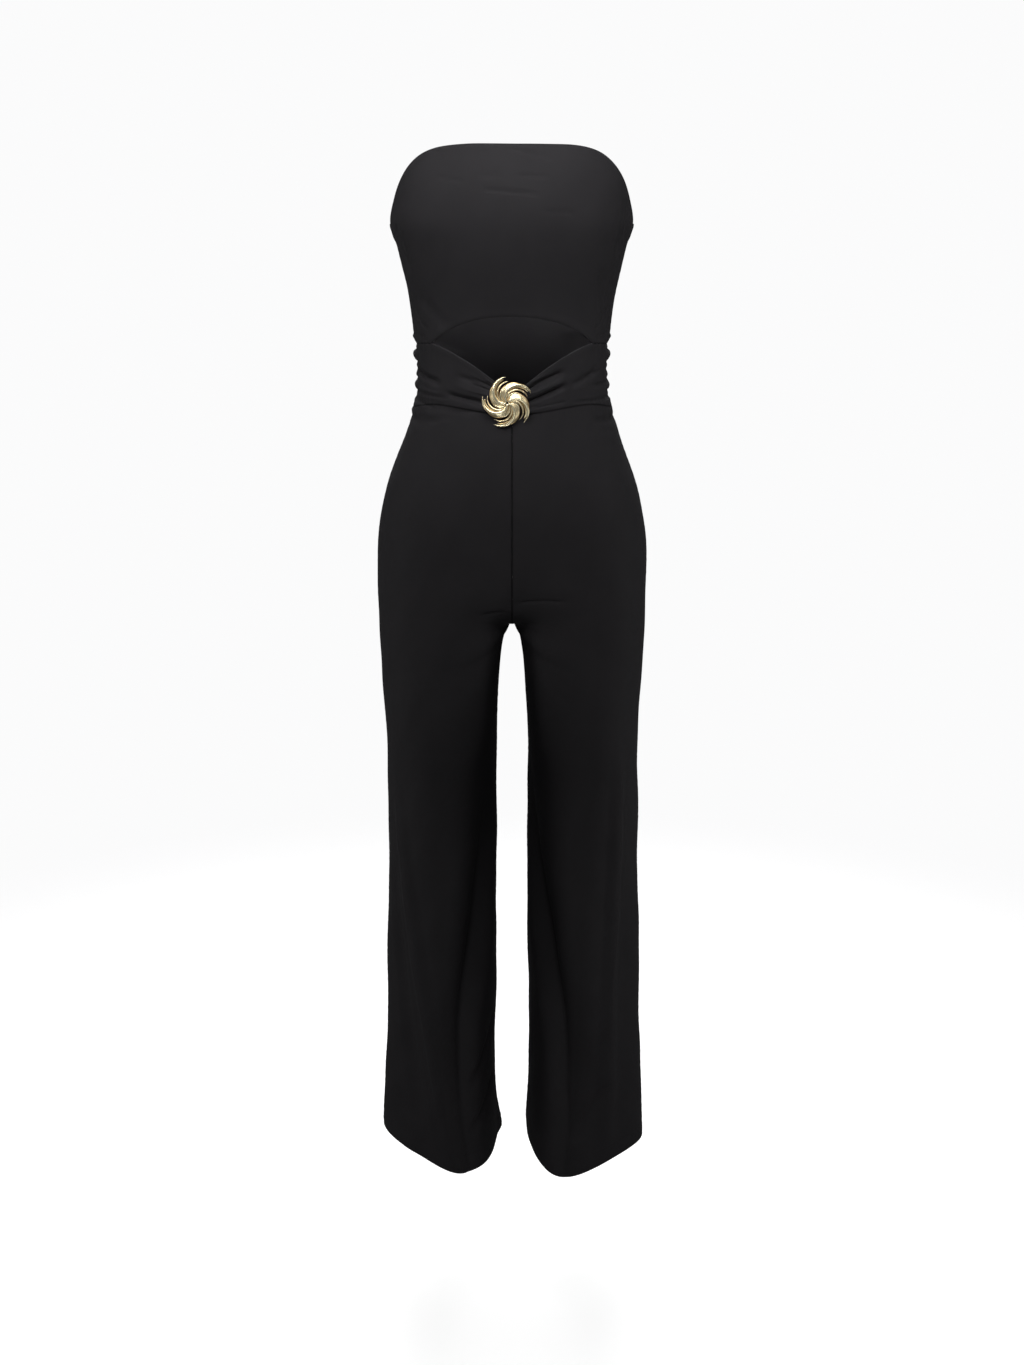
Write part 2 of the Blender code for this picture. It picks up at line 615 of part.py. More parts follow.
def strand(bm, leaf_angle, barb):
    """One curved barb of a leaf: a ridge that whirls out from the hub and tapers to a point."""
    rings = []
    for step in range(strand_steps + 1):
        t = step / strand_steps
        out = math.sin(t * math.pi / 2)
        reach = barb.reach * brooch_span / 2
        radius = hub_radius / 2 + (reach - hub_radius / 2) * out
        angle = leaf_angle + math.radians(barb.ahead + barb.whirl * (1 - t) ** 1.15)
        outward = Vector((math.cos(angle), math.sin(angle), 0))
        clockwise = Vector((outward.y, -outward.x, 0))
        centre = outward * radius
        base = strand_foot + (plate_front - strand_foot) * (1 - t) + barb.lift * (1 - t * t)
        if step == strand_steps:
            tip = bm.verts.new(centre + Vector((0, 0, base)))
            break
        whirl = radius * math.radians(barb.whirl) * 1.15 * (1 - t) ** 0.15
        ahead = outward * reach * math.cos(t * math.pi / 2) * math.pi / 2 + clockwise * whirl
        beside = ahead.normalized().cross(Vector((0, 0, 1)))
        swell = math.sin(math.pi * (0.25 + 0.75 * t))
        half = beside * barb.width * swell
        rings.append([
            bm.verts.new(centre - half + Vector((0, 0, base))),
            bm.verts.new(centre + Vector((0, 0, base - keel - strand_foot * (1 - t)))),
            bm.verts.new(centre + half + Vector((0, 0, base))),
            bm.verts.new(centre - half * 0.2 + Vector((0, 0, base + barb.ridge * swell))),
        ])
    for inner, outer in zip(rings, rings[1:]):
        for k in range(4):
            bm.faces.new([inner[k], inner[k - 1], outer[k - 1], outer[k]])
    bm.faces.new(rings[0])
    for k in range(4):
        bm.faces.new([rings[-1][k], rings[-1][k - 1], tip])


def turned(profile, segments):
    """A round solid about +Z from the (radius, height) points of its outline, bottom to top."""
    bm = bmesh.new()
    points = [bm.verts.new((radius, 0, height)) for radius, height in profile]
    edges = [bm.edges.new(pair) for pair in zip(points, points[1:])]
    bmesh.ops.spin(
        bm,
        geom=points + edges,
        axis=(0, 0, 1),
        cent=(0, 0, 0),
        angle=2 * math.pi,
        steps=segments,
        use_merge=True,
    )
    bmesh.ops.remove_doubles(bm, verts=bm.verts, dist=1e-6)
    return bm


def brooch_seat():
    """The y of the brooch's back, just in front of the gathered bands behind its boss."""
    turn, height = band_grid()
    front = 0.0
    for side in ("left", "right"):
        points = half_skins(side, height, turn + 0 * height, waistband_raised(turn))[0]
        away = np.hypot(points[..., 0] - brooch_x, points[..., 2] - brooch_z)
        front = min(front, points[away < boss_radius * seat_reach][:, 1].min())
    return front - seam_gap


def brooch(gold):
    """Cast whirl: five leaves of curved barbs round a small hub, on a plate with a round back boss."""
    bm = bmesh.new()
    for leaf in range(leaf_count):
        for barb in barbs:
            strand(bm, first_leaf - leaf * 2 * math.pi / leaf_count, barb)
    leaves = place("brooch_leaves", bm, gold)
    leaves.hide_render = True
    leaves.display_type = "WIRE"
    profile = [
        (0.0, 0.0),
        (boss_radius, 0.0),
        (boss_radius, plate_back),
        (plate_radius, plate_back),
        (plate_radius, plate_front),
        (hub_radius, plate_front),
        (hub_radius, hub_top - hub_radius / 2),
        (hub_radius / 2, hub_top),
        (0.0, hub_top),
    ]
    whirl = place("brooch", turned(profile, 24), gold)
    whirl.location = leaves.location = (brooch_x, brooch_seat(), brooch_z)
    whirl.rotation_euler = leaves.rotation_euler = (math.pi / 2, 0, 0)
    union = whirl.modifiers.new("leaves", "BOOLEAN")
    union.operation = "UNION"
    union.object = leaves
    union.use_self = True


def main():
    for old in list(bpy.data.objects):
        bpy.data.objects.remove(old, do_unlink=True)
    jersey = finish("black_jersey", (0.020, 0.019, 0.021), 0.85, 0.0)
    gold = finish("gold_cast", (0.83, 0.62, 0.27), 0.28, 1.0)
    bodice_front(jersey)
    bodice_back(jersey)
    for side in ("left", "right"):
        waistband_front(side, jersey)
        trouser("front", side, jersey)
        trouser("back", side, jersey)
    brooch(gold)


main()
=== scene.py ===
# Looks of the strapless wide-leg jumpsuit: fine jersey shells, their sewing and the whirl brooch,
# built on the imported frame. Metres, +Z up, the front faces -Y and the wearer's left is at +X.
#
# A place on the cloth is (height, turn). Turn runs 0 to 1 round one half of the body or one leg:
# 0 centre front or inseam, 0.5 side seam, 1 centre back or inseam again.

import math
from collections import namedtuple

import bpy
import numpy as np
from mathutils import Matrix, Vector


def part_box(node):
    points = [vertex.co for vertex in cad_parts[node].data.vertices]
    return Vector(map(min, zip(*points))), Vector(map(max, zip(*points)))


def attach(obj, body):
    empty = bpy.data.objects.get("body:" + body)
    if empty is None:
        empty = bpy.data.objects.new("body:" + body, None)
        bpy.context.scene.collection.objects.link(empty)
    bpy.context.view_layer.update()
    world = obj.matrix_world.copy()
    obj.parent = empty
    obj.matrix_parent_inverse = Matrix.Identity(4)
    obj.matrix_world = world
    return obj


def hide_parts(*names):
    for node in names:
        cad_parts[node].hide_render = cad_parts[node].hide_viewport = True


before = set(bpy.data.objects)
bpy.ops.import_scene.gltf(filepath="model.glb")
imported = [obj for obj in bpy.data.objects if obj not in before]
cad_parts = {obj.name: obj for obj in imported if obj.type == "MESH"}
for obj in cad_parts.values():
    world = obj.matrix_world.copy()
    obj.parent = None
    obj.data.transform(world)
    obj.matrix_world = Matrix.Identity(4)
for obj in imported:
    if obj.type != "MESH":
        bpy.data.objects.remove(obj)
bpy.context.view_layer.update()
print("stage: frame loaded")


# the cut of the whole garment
cut = {
    "clothWall": 0.0015,
    "seamGap": 0.000004,
    "topEdge": 0.265,
    "underarm": 0.176,
    "edgeRound": 5.2,
    "edgeFall": 0.87,
    "waistSeamLevel": -0.0365,
    "waistSeamSwing": 0.0045,
    "cornerTurn": 0.295,
    "cornerHeight": 0.039,
    "cutoutTop": 0.0735,
    "archCurve": 2.5,
    "veeBottom": -0.021,
    "veeCurve": 1.75,
    "stripEnd": 0.0345,
    "bandPile": 0.0025,
    "bandPileTurn": 0.12,
}
crotch = {
    "height": -0.308,
    "depth": 0.002,
    "riseStart": -0.225,
    "row": -0.360,
    "straightLegRow": -0.480,
    "archReach": 0.044,
    "archPower": 0.7,
    "riseSquare": 0.20,
    "riseSettle": 0.42,
    "swing": 0.92,
    "fill": 0.94,
    "fillStart": -0.275,
    "fillEnd": -0.53,
    "round": 0.13,
    "roundAt": -0.365,
    "roundReach": 0.045,
}


def inMetres(kind, columns, rows):
    # a table of rows, with these columns turned from millimetres into metres
    table = [kind(*row) for row in rows]
    return [row._replace(**{name: getattr(row, name) / 1000 for name in columns}) for row in table]


# rings of the body: height, half width at the side seam, front and back depth and the side seam's
# depth in millimetres, and how square the ring is
Body = namedtuple("Body", "height side front back seam square")
bodyRows = inMetres(Body, ["height", "side", "front", "back", "seam"], [
    (270, 145, -101, 99, 0, 0.05),
    (240, 145, -111, 101, 0, 0.06),
    (205, 145, -117.5, 103, 0, 0.07),
    (176, 145, -118, 103.5, 0, 0.07),
    (150, 138, -114, 101.5, 0, 0.06),
    (120, 131.2, -106.5, 97.5, 0, 0.05),
    (90, 125, -99, 92, 0, 0.04),
    (60, 120.6, -93, 87, 0, 0.04),
    (30, 118.4, -89.3, 84.2, 0, 0.04),
    (0, 118.2, -88, 84.2, 1, 0.04),
    (-25, 120, -89, 87.5, 2, 0.04),
    (-45, 124, -91.2, 93, 3, 0.04),
    (-70, 131.2, -95.2, 101, 4, 0.04),
    (-103, 143.7, -99.5, 113, 5, 0.04),
    (-134, 155, -102.5, 124, 6, 0.05),
    (-170, 164, -105, 133.5, 7, 0.06),
    (-210, 170, -106.2, 139, 8, 0.06),
    (-260, 172.2, -106.2, 139, 8, 0.06),
    (-315, 171, -105, 133, 7, 0.06),
    (-370, 168.2, -103, 125, 6, 0.06),
    (-450, 165, -101, 118, 5, 0.06),
])

# rings of a leg: height, inner and outer side, front, back and seam depth, squareness, and how far
# the front leans inwards, in millimetres but for the squareness
Leg = namedtuple("Leg", "height inner outer front back seam square lean")
legRows = inMetres(Leg, ["height", "inner", "outer", "front", "back", "seam", "lean"], [
    (-200, 21.6, 169, -106.2, 139, 8, 0.04, 0),
    (-315, 21.6, 171, -105, 132, 7, 0.04, 0),
    (-368, 21.6, 168.4, -103, 124, 6, 0.04, 0),
    (-422, 21.6, 165.5, -101, 118, 6, 0.04, 0),
    (-477, 21.7, 164, -99.5, 114, 5, 0.02, 0),
    (-560, 21.2, 164.5, -98, 110, 5, -0.02, 1),
    (-646, 20.9, 165, -97.8, 108, 5, -0.05, 3),
    (-734, 21, 168.1, -99.5, 108, 5, -0.08, 8),
    (-823, 21.9, 170.6, -102, 109.5, 5, -0.1, 14),
    (-914, 23.5, 173.9, -105.7, 112, 5, -0.11, 21),
    (-976, 23, 177.3, -109.3, 114, 5, -0.12, 26),
    (-1040, 19, 180, -114, 116, 5, -0.13, 31),
    (-1070, 18, 180.6, -115.5, 117, 5, -0.15, 33),
])


def along(rows, column, height):
    # smooth curve through one column of a table
    levels = np.array([row.height for row in rows])
    values = np.array([getattr(row, column) for row in rows])
    slopes = np.gradient(values, levels)
    place = np.clip(height, levels[-1], levels[0])
    first = np.clip(np.searchsorted(-levels, -place) - 1, 0, len(rows) - 2)
    span = levels[first + 1] - levels[first]
    t = (place - levels[first]) / span
    return (
        values[first] * (1 - t * t * (3 - 2 * t))
        + values[first + 1] * t * t * (3 - 2 * t)
        + span * slopes[first] * t * (1 - t) ** 2
        + span * slopes[first + 1] * t * t * (t - 1)
    )


def ease(start, end, value):
    t = np.clip((value - start) / (end - start), 0, 1)
    return t * t * (3 - 2 * t)


def bump(away, width):
    # 1 in the middle, falling softly to 0 at the half width
    return 0.5 + 0.5 * np.cos(math.pi * np.clip(away / width, -1, 1))


def depthAt(rows, height, isFront):
    # how far a ring reaches forwards or backwards from its side seam
    seam = along(rows, "seam", height)
    return np.where(isFront, seam - along(rows, "front", height), along(rows, "back", height) - seam)


def bodyRing(height, turn):
    angle = math.pi * turn
    square = along(bodyRows, "square", height) * np.sin(2 * angle)
    depth = depthAt(bodyRows, height, np.cos(angle) > 0)
    x = along(bodyRows, "side", height) * np.sin(angle + square)
    return x, along(bodyRows, "seam", height) - depth * np.cos(angle - square)


def legRing(height, turn):
    angle = 2 * math.pi * turn
    inner = along(legRows, "inner", height)
    outer = along(legRows, "outer", height)
    square = along(legRows, "square", height) * np.sin(2 * angle)
    depth = depthAt(legRows, height, np.sin(angle) > 0)
    x = (inner + outer) / 2 - (outer - inner) / 2 * np.cos(angle - square)
    lean = along(legRows, "lean", height) * np.clip(np.sin(angle), 0, 1) ** 2
    return x - lean, along(legRows, "seam", height) - depth * np.sin(angle + square)


def outerHalf(height, turn):
    # body and leg blended, true from turn 0.25 to 0.75
    parted = ease(crotch["riseStart"], crotch["straightLegRow"], height)
    bodyX, bodyY = bodyRing(height, turn)
    legX, legY = legRing(height, turn)
    return bodyX + parted * (legX - bodyX), bodyY + parted * (legY - bodyY)


def thighFill(height):
    # fuller inner corners where the cloth spans the tops of the legs
    grown = ease(crotch["fillStart"], crotch["row"], height)
    return 1 + crotch["fill"] * grown * (1 - ease(crotch["row"] - 0.02, crotch["fillEnd"], height))


def centreDepth(height, front):
    return np.where(front, along(bodyRows, "front", height), along(bodyRows, "back", height))


def innerEdge(height, front):
    # centre seam down to the crotch, then the inseam, and how a ring leaves it
    riseStart = crotch["riseStart"]
    row = crotch["row"]
    end = centreDepth(height, front)
    riseEnd = centreDepth(riseStart, front)
    down = np.clip((riseStart - height) / (riseStart - row), 0, 1)
    bend = (down + crotch["riseSettle"] * down**2 * (1 - down)) * math.pi / 2
    reach = riseEnd - crotch["depth"]
    drop = riseStart - crotch["height"]
    above = height > row
    square = crotch["riseSquare"] * np.sin(2 * bend)
    seamY = np.where(height > riseStart, end, crotch["depth"] + reach * np.cos(bend - square))
    seamZ = np.where(height > riseStart, height, riseStart - drop * np.sin(bend + square))

    joined = ease(row, crotch["straightLegRow"], height)
    legZ = height + (crotch["height"] - row) * (1 - joined)
    below = np.maximum(crotch["height"] - legZ, 0)
    opened = 1 - np.exp(-((below / crotch["archReach"]) ** crotch["archPower"]))
    legX = along(legRows, "inner", height) * opened
    legY = crotch["depth"] + (along(legRows, "seam", height) - crotch["depth"]) * joined

    x = np.where(above, 0, legX)
    y = np.where(above, seamY, legY)
    z = np.where(above, seamZ, legZ)

    swing = np.where(
        above,
        crotch["swing"] * ease(riseStart, row, height),
        crotch["swing"] + (1 - crotch["swing"]) * ease(row, row - 0.045, height),
    )
    sign = np.where(front, -1.0, 1.0)
    leaveX = (1 - swing) * math.pi * along(bodyRows, "side", height)
    rounder = 1 + crotch["round"] * bump(height - crotch["roundAt"], crotch["roundReach"])
    leaveY = sign * swing * 2 * math.pi * np.abs(end - crotch["depth"]) * thighFill(height) * rounder
    steep = drop * np.cos(bend + square) / (np.abs(reach) * np.maximum(np.sin(bend - square), 0.05))
    arch = np.clip(below / 0.010, 0, 1)
    leaveZ = np.where(above, np.abs(leaveY) * steep, -leaveX * arch)
    return (x, y, z), (leaveX, leaveY, leaveZ)


def basePoint(height, turn):
    height, turn = np.broadcast_arrays(np.asarray(height, float), np.asarray(turn, float))
    front = turn < 0.5
    fromEdge = np.where(front, turn, 1 - turn)
    quarter = np.where(front, 0.25, 0.75)
    step = 1e-4
    x, y = outerHalf(height, turn)
    x1, y1 = outerHalf(height, quarter)
    x2, y2 = outerHalf(height, quarter + np.where(front, step, -step))
    fill = thighFill(height)
    slopeX = fill * (x2 - x1) / step
    slopeY = fill * (y2 - y1) / step
    (ix, iy, iz), (dx, dy, dz) = innerEdge(height, front)
    t = np.clip(fromEdge / 0.25, 0, 1)
    start = 1 - t * t * (3 - 2 * t)
    leave = 0.25 * t * (1 - t) ** 2
    arrive = 0.25 * t * t * (t - 1)
    inside = fromEdge < 0.25
    x = np.where(inside, ix * start + x1 * (1 - start) + dx * leave + slopeX * arrive, x)
    y = np.where(inside, iy * start + y1 * (1 - start) + dy * leave + slopeY * arrive, y)
    z = height + (iz - height) * start + dz * leave
    return np.stack([x, y, z], axis=-1)


def anyPoint(height, turn):
    # basePoint carried a little past the centre seam or round the inseam
    height, turn = np.broadcast_arrays(np.asarray(height, float), np.asarray(turn, float))
    past = (turn < 0) | (turn > 1)
    mirrored = np.where(turn < 0, -turn, 2 - turn)
    closed = height < crotch["row"]
    inside = np.where(past, np.where(closed, turn % 1.0, mirrored), turn)
    points = basePoint(height, np.clip(inside, 0, 1))
    points[..., 0] *= np.where(past & ~closed, -1, 1)
    return points


def normalsAt(height, turn):
    alongTurn = anyPoint(height, turn + 0.004) - anyPoint(height, turn - 0.004)
    alongHeight = anyPoint(height + 0.002, turn) - anyPoint(height - 0.002, turn)
    out = np.cross(alongTurn, alongHeight)
    # the one point where the four trouser pieces meet faces straight down
    corner = (np.abs(height - crotch["row"]) < 1e-6) & (np.abs(turn - 0.5) > 0.499999)
    out = np.where(corner[..., None], np.array([0.0, 0.0, -1.0]), out)
    return out / np.linalg.norm(out, axis=-1, keepdims=True)


# the folds of the cloth: which half, from where to where, half width, depth (a groove is negative)
# and bow, in millimetres but for the turns, and how many times wider the side below it or towards
# the inseam is
Fold = namedtuple("Fold", "side height turn endHeight endTurn width depth bow skew", defaults=(0, 1))
foldLengths = ["height", "endHeight", "width", "depth", "bow"]
mainFolds = inMetres(Fold, foldLengths, [
    # soft pulls down the sides of the bodice
    ("left", 205, 0.35, 135, 0.35, 14, -1.8),
    ("left", 130, 0.27, 50, 0.385, 13, -1.6),
    ("right", 180, 0.385, 120, 0.35, 14, -1.8),
    ("right", 100, 0.335, 55, 0.19, 13, -1.4),
    # elastic gathers at the underarm
    ("both", 200, 0.53, 150, 0.522, 7, 2.2),
    ("both", 200, 0.575, 155, 0.57, 7, 2),
    ("both", 200, 0.625, 160, 0.615, 8, 1.6),
    # waistband folds that run into the brooch
    ("left", -20, 0, 12, 0.18, 6, -2.4),
    ("left", -33, 0, -6, 0.185, 6, -2.7),
    ("left", -26, 0, 2, 0.19, 7, 1.8),
    ("left", -10, 0.18, 10, 0.33, 9, -1.6),
    ("right", -20, 0, 6, 0.19, 6, -1.5),
    ("right", -34, 0, -16, 0.24, 6, -2.1),
    ("right", -27, 0, -6, 0.2, 7, 1),
    ("right", -8, 0.23, 6, 0.44, 8, -2.2),
    ("right", -31, 0.18, -28, 0.43, 6, -1.8),
    # ruching round the side seams
    ("both", 35, 0.4, 34.5, 0.6, 7, -2.4),
    ("both", 22, 0.39, 23.5, 0.62, 8, 2.8),
    ("both", 4, 0.38, 6, 0.61, 7, -1.8),
    ("both", -13, 0.4, -14, 0.62, 7, 1.6),
    ("both", -28, 0.39, -26, 0.6, 6, -2),
    ("both", -58, 0.25, -52, 0.56, 7, -1.6),
    ("right", -44, 0.38, -47, 0.6, 5, 1.2),
    # pulls beside the crotch
    ("left", -258, -0.02, -272, 0.17, 12, -0.6),
    ("right", -276, -0.01, -290, 0.11, 12, -0.6),
    # wearer's right leg, front
    ("right", -850, 0.01, -945, 0.19, 16, -4),
    ("right", -940, 0.03, -1005, 0.2, 14, -3.5),
    ("right", -480, 0.405, -1070, 0.27, 20, 5),
    ("right", -600, 0.43, -1060, 0.345, 18, -4),
    # wearer's left leg, front
    ("left", -430, 0.35, -1100, 0.368, 20, 5),
    ("left", -930, 0.37, -1020, 0.28, 16, -3.5),
    # the hem's inner corner kicks inwards, and the wearer's left side hangs a little fuller
    ("right", -1000, 0, -1240, 0, 26, 5.5),
    ("left", -420, 0.5, -1250, 0.5, 60, 3.5),
    # backs of the legs
    ("right", -330, 0.79, -1110, 0.735, 34, 5),
    ("right", -430, 0.88, -990, 0.835, 30, -5),
    ("right", -560, 0.63, -1100, 0.6, 28, 4.5),
    ("left", -340, 0.77, -1110, 0.76, 36, 5.2),
    ("left", -470, 0.87, -1040, 0.86, 28, -4.8),
    ("left", -520, 0.645, -1100, 0.615, 30, 4.2),
    ("both", -300, 0.77, -345, 0.96, 16, -3),
])
fineFolds = inMetres(Fold, foldLengths, [
    # thin creases across the bust
    ("left", 262, -0.02, 247.5, 0.105, 3, -0.9),
    ("right", 231, 0.02, 230.5, 0.085, 3.4, -0.7),
    ("left", 231, 0.005, 230, 0.095, 3.8, -0.8),
    ("right", 216.5, 0.07, 212, -0.01, 3.4, -0.9),
    ("left", 213, -0.01, 209.5, 0.07, 3.4, -0.9),
    ("left", 191, 0.07, 190.5, 0.155, 4, -0.7),
    ("right", 224, 0.11, 230, 0.19, 4.4, -0.6),
    # ties of cloth running from the cut-out's corners
    ("left", 52, 0.285, 88, 0.4, 5, -0.7),
    ("left", 44, 0.3, 58, 0.455, 3.6, -0.8, 0, 2.2),
    ("right", 52, 0.29, 83, 0.42, 5, -0.7),
    ("right", 44, 0.305, 54, 0.47, 3.6, -0.9, 0, 2.2),
    # small folds fanning from the brooch
    ("left", -6, 0.05, 8.5, 0.165, 2.2, -1.2, 0, 2.2),
    ("left", -27, 0.05, -8, 0.165, 2.4, -1.5, 0, 2.2),
    ("left", -8, 0.19, 8, 0.32, 3, -0.8, 0, 2.2),
    ("left", -13, 0.04, 0, 0.12, 1.8, -0.8),
    ("left", -34, 0.06, -26, 0.18, 2.2, -0.9),
    ("left", -20, 0.045, -8, 0.115, 2, 0.8),
    ("right", -6, 0.055, 3, 0.165, 2.2, -0.7, 0, 2.2),
    ("right", -28, 0.055, -19, 0.215, 2.6, -1, 0, 2.2),
    ("right", -38.5, 0.07, -28, 0.41, 2.4, -1.4, 4, 2.2),
    ("right", -7, 0.235, 5.5, 0.43, 2.8, -1.1, 0, 2.2),
    ("right", -15, 0.045, -6, 0.13, 2, -0.8),
    ("right", -22, 0.045, -13, 0.14, 2, 0.8),
    ("right", -20, 0.24, -14.5, 0.4, 4, 0.8),
    # soft creases from the side seams towards the waist seam
    ("right", -31, 0.48, -35.8, 0.19, 3, -1.3, 0, 1.6),
    ("right", -35, 0.25, -38.5, 0.09, 2.6, -0.9, 0, 1.6),
    ("right", -18.5, 0.215, -26, 0.09, 2.6, -0.9, 0, 1.6),
    ("right", -54, 0.43, -47, 0.15, 3, -1.4, 0, 1.8),
    ("right", 1.5, 0.46, -4, 0.24, 3.4, -1, 0, 1.6),
    ("right", -20.5, 0.44, -25, 0.18, 3.4, -1.4, 0, 1.8),
    ("left", -28, 0.18, -26.8, 0.49, 3, -1.5, 0, 1.8),
    ("left", -50, 0.25, -56, 0.54, 3, -1.3, 0, 1.8),
    ("left", -62.5, 0.23, -67, 0.42, 3.2, -1, 0, 1.6),
    ("left", 0, 0.23, 7.5, 0.36, 3, -0.9, 0, 1.6),
    ("left", -10, 0.27, -8.8, 0.52, 3.4, -1.4, 0, 1.8),
    # ruching at the side seams, between the main rows
    ("both", 45, 0.43, 44, 0.57, 4, 1.4),
    ("left", 29, 0.425, 30, 0.585, 2.6, -1.9),
    ("right", 30, 0.435, 28, 0.6, 2.6, -2),
    ("left", 14.5, 0.415, 14, 0.6, 3, -2, 0, 2.2),
    ("right", 13.5, 0.4, 15, 0.58, 3, -2.4, 0, 2.2),
    ("left", -5, 0.42, -3.5, 0.59, 3, -1.7, 0, 2.2),
    ("right", -4.5, 0.405, -6, 0.605, 3, -2, 0, 2.2),
    ("left", -20, 0.4, -20.5, 0.585, 2.8, -2, 0, 2.2),
    ("right", -21, 0.385, -19.5, 0.59, 3, -2.2, 0, 2.2),
    ("right", -51, 0.22, -48, 0.44, 3, -1.4, 0, 2.2),
    ("left", -51, 0.265, -49, 0.45, 2.8, -1.2, 0, 2.2),
    ("left", -64, 0.33, -59, 0.52, 5, -1),
    ("right", -66, 0.35, -62, 0.54, 5, -1),
    # creases beside the crotch
    ("left", -259, 0.008, -268.5, 0.13, 2, -1.1, 0, 2),
    ("right", -270.5, 0.014, -287, 0.092, 2.2, -0.9, 0, 2),
    ("left", -300, 0.02, -310, 0.1, 6, -0.3),
    ("right", -304, 0.02, -312, 0.09, 6, -0.3),
    ("both", -318, 0.93, -330, 1, 6, -1),
    # wearer's right leg
    ("right", -855, 0.015, -925, 0.175, 8, -1),
    ("right", -965, 0.055, -990, 0.19, 8, -0.9),
    ("right", -520, 0.402, -740, 0.368, 6, 0.6, 4),
    ("right", -700, 0.376, -990, 0.3, 6, 0.7, 3),
    ("right", -960, 0.43, -1000, 0.365, 7, -0.8),
    # wearer's left leg
    ("left", -455, 0.345, -690, 0.374, 7, 0.6, -4),
    ("left", -660, 0.374, -890, 0.36, 6, 0.7, 4),
    ("left", -950, 0.36, -1000, 0.29, 7, -0.8),
    # sides and backs of the legs
    ("right", -560, 0.87, -930, 0.845, 8, -3.4, 6, 2.6),
    ("left", -600, 0.865, -1020, 0.855, 8, -3.2, -6, 2.6),
    ("right", -480, 0.69, -900, 0.655, 10, -3, 6, 1.8),
    ("left", -540, 0.705, -960, 0.68, 10, -2.8, -6, 1.8),
    ("right", -395, 0.775, -375, 0.93, 8, -1.4, 4, 2.2),
    ("left", -400, 0.76, -372, 0.925, 8, -1.4, 4, 2.2),
    ("both", -75, 0.64, -60, 0.76, 8, -0.7),
    ("right", -780, 0.78, -1040, 0.8, 12, -2.4, 4, 1.8),
    ("left", -830, 0.79, -1045, 0.77, 12, -2.2, -4, 1.8),
    # slack across the small of the back
    ("left", 72, 0.6, 40, 0.84, 7, -1.4, 4, 1.6),
    ("right", 84, 0.585, 50, 0.8, 7, -1.3, 3, 1.6),
    ("left", 38, 0.59, 14, 0.8, 6, -1.4, 3, 1.6),
    ("right", 45, 0.6, 12, 0.86, 6, -1.4, 4, 1.6),
    ("left", 6, 0.6, -10, 0.78, 5, -1.2, 2, 1.6),
    ("right", 3, 0.59, -12, 0.74, 5, -1.2, 2, 1.6),
])
foldFade = 0.22

# the long break down the front of each leg: points on its line, how deep it is there and how far
# inside the line the cloth comes back out, in millimetres but for the turn; line and strip are
# how much painted shade darkens the cloth in the line and between it and the inseam
Break = namedtuple("Break", "height turn depth inner line strip")
breakLengths = ["height", "depth", "inner"]
breaks = {
    "right": inMetres(Break, breakLengths, [
        (-360, 0.03, 0, 50, 0.6, 0.6),
        (-430, 0.085, 0, 50, 0.66, 0.66),
        (-515, 0.09, 3, 50, 0.68, 0.66),
        (-570, 0.098, 7, 55, 0.64, 0.58),
        (-624, 0.108, 11, 55, 0.58, 0.3),
        (-679, 0.124, 15, 55, 0.64, 0.14),
        (-733, 0.143, 17.5, 55, 0.62, 0),
        (-786, 0.172, 17.5, 55, 0.56, 0),
        (-838, 0.205, 15.5, 50, 0.54, 0),
        (-908, 0.223, 12.5, 50, 0.4, 0),
        (-951, 0.226, 10, 50, 0.3, 0),
        (-1080, 0.215, 6, 50, 0.15, 0),
    ]),
    "left": inMetres(Break, breakLengths, [
        (-360, 0.022, 0, 40, 0.6, 0.6),
        (-430, 0.045, 0, 40, 0.68, 0.68),
        (-500, 0.045, 2.5, 40, 0.68, 0.66),
        (-552, 0.052, 6, 40, 0.62, 0.54),
        (-628, 0.082, 11, 45, 0.68, 0.16),
        (-683, 0.105, 15.5, 50, 0.68, 0.1),
        (-735, 0.132, 17.5, 55, 0.62, 0),
        (-786, 0.164, 17.5, 55, 0.54, 0),
        (-838, 0.202, 15.5, 55, 0.5, 0),
        (-908, 0.24, 12, 55, 0.36, 0),
        (-951, 0.258, 10, 55, 0.26, 0),
        (-1080, 0.27, 6, 55, 0.15, 0),
    ]),
}
# how far outside the line the cloth starts to curve in and how sharply, and how far the painted
# shade beside it reaches:
# wider on the thighs, narrower again beside the crotch
breakLook = {
    "outer": 0.080,
    "power": 2.2,
    "shade": 0.065,
    "shadePower": 1.2,
    "thighWider": 0.9,
    "thighFrom": -0.64,
    "thighTo": -0.50,
    "crotchShare": 0.45,
    "crotchFrom": -0.44,
    "lineWidth": 0.014,
    "fadeAbove": 0.03,
}


def ringLength(height):
    # rough length of one half's ring, to turn a share of it into metres
    return 0.33 + 0.25 * ease(0.0, -0.40, height)


def foldsOn(rows, side, height, turn):
    moved = np.zeros(np.broadcast(height, turn).shape)
    for fold in rows:
        if fold.side not in (side, "both"):
            continue
        girth = ringLength((fold.height + fold.endHeight) / 2)
        across = (fold.endTurn - fold.turn) * girth
        down = fold.endHeight - fold.height
        length = math.hypot(across, down)
        offTurn = (turn - fold.turn) * girth
        offHeight = height - fold.height
        way = (offTurn * across + offHeight * down) / length**2
        beside = (offTurn * down - offHeight * across) / length
        beside = beside - fold.bow * 4 * way * (1 - way)
        fade = ease(0, foldFade, way) * (1 - ease(1 - foldFade, 1, way))
        width = np.where(beside > 0, fold.width * fold.skew, fold.width)
        moved = moved + fold.depth * bump(beside, width) * fade
    return moved


def pastBreak(side, height, turn):
    # metres from the long break of a leg, below 0 on its inner side
    return (turn - along(breaks[side], "turn", height)) * ringLength(-0.5)


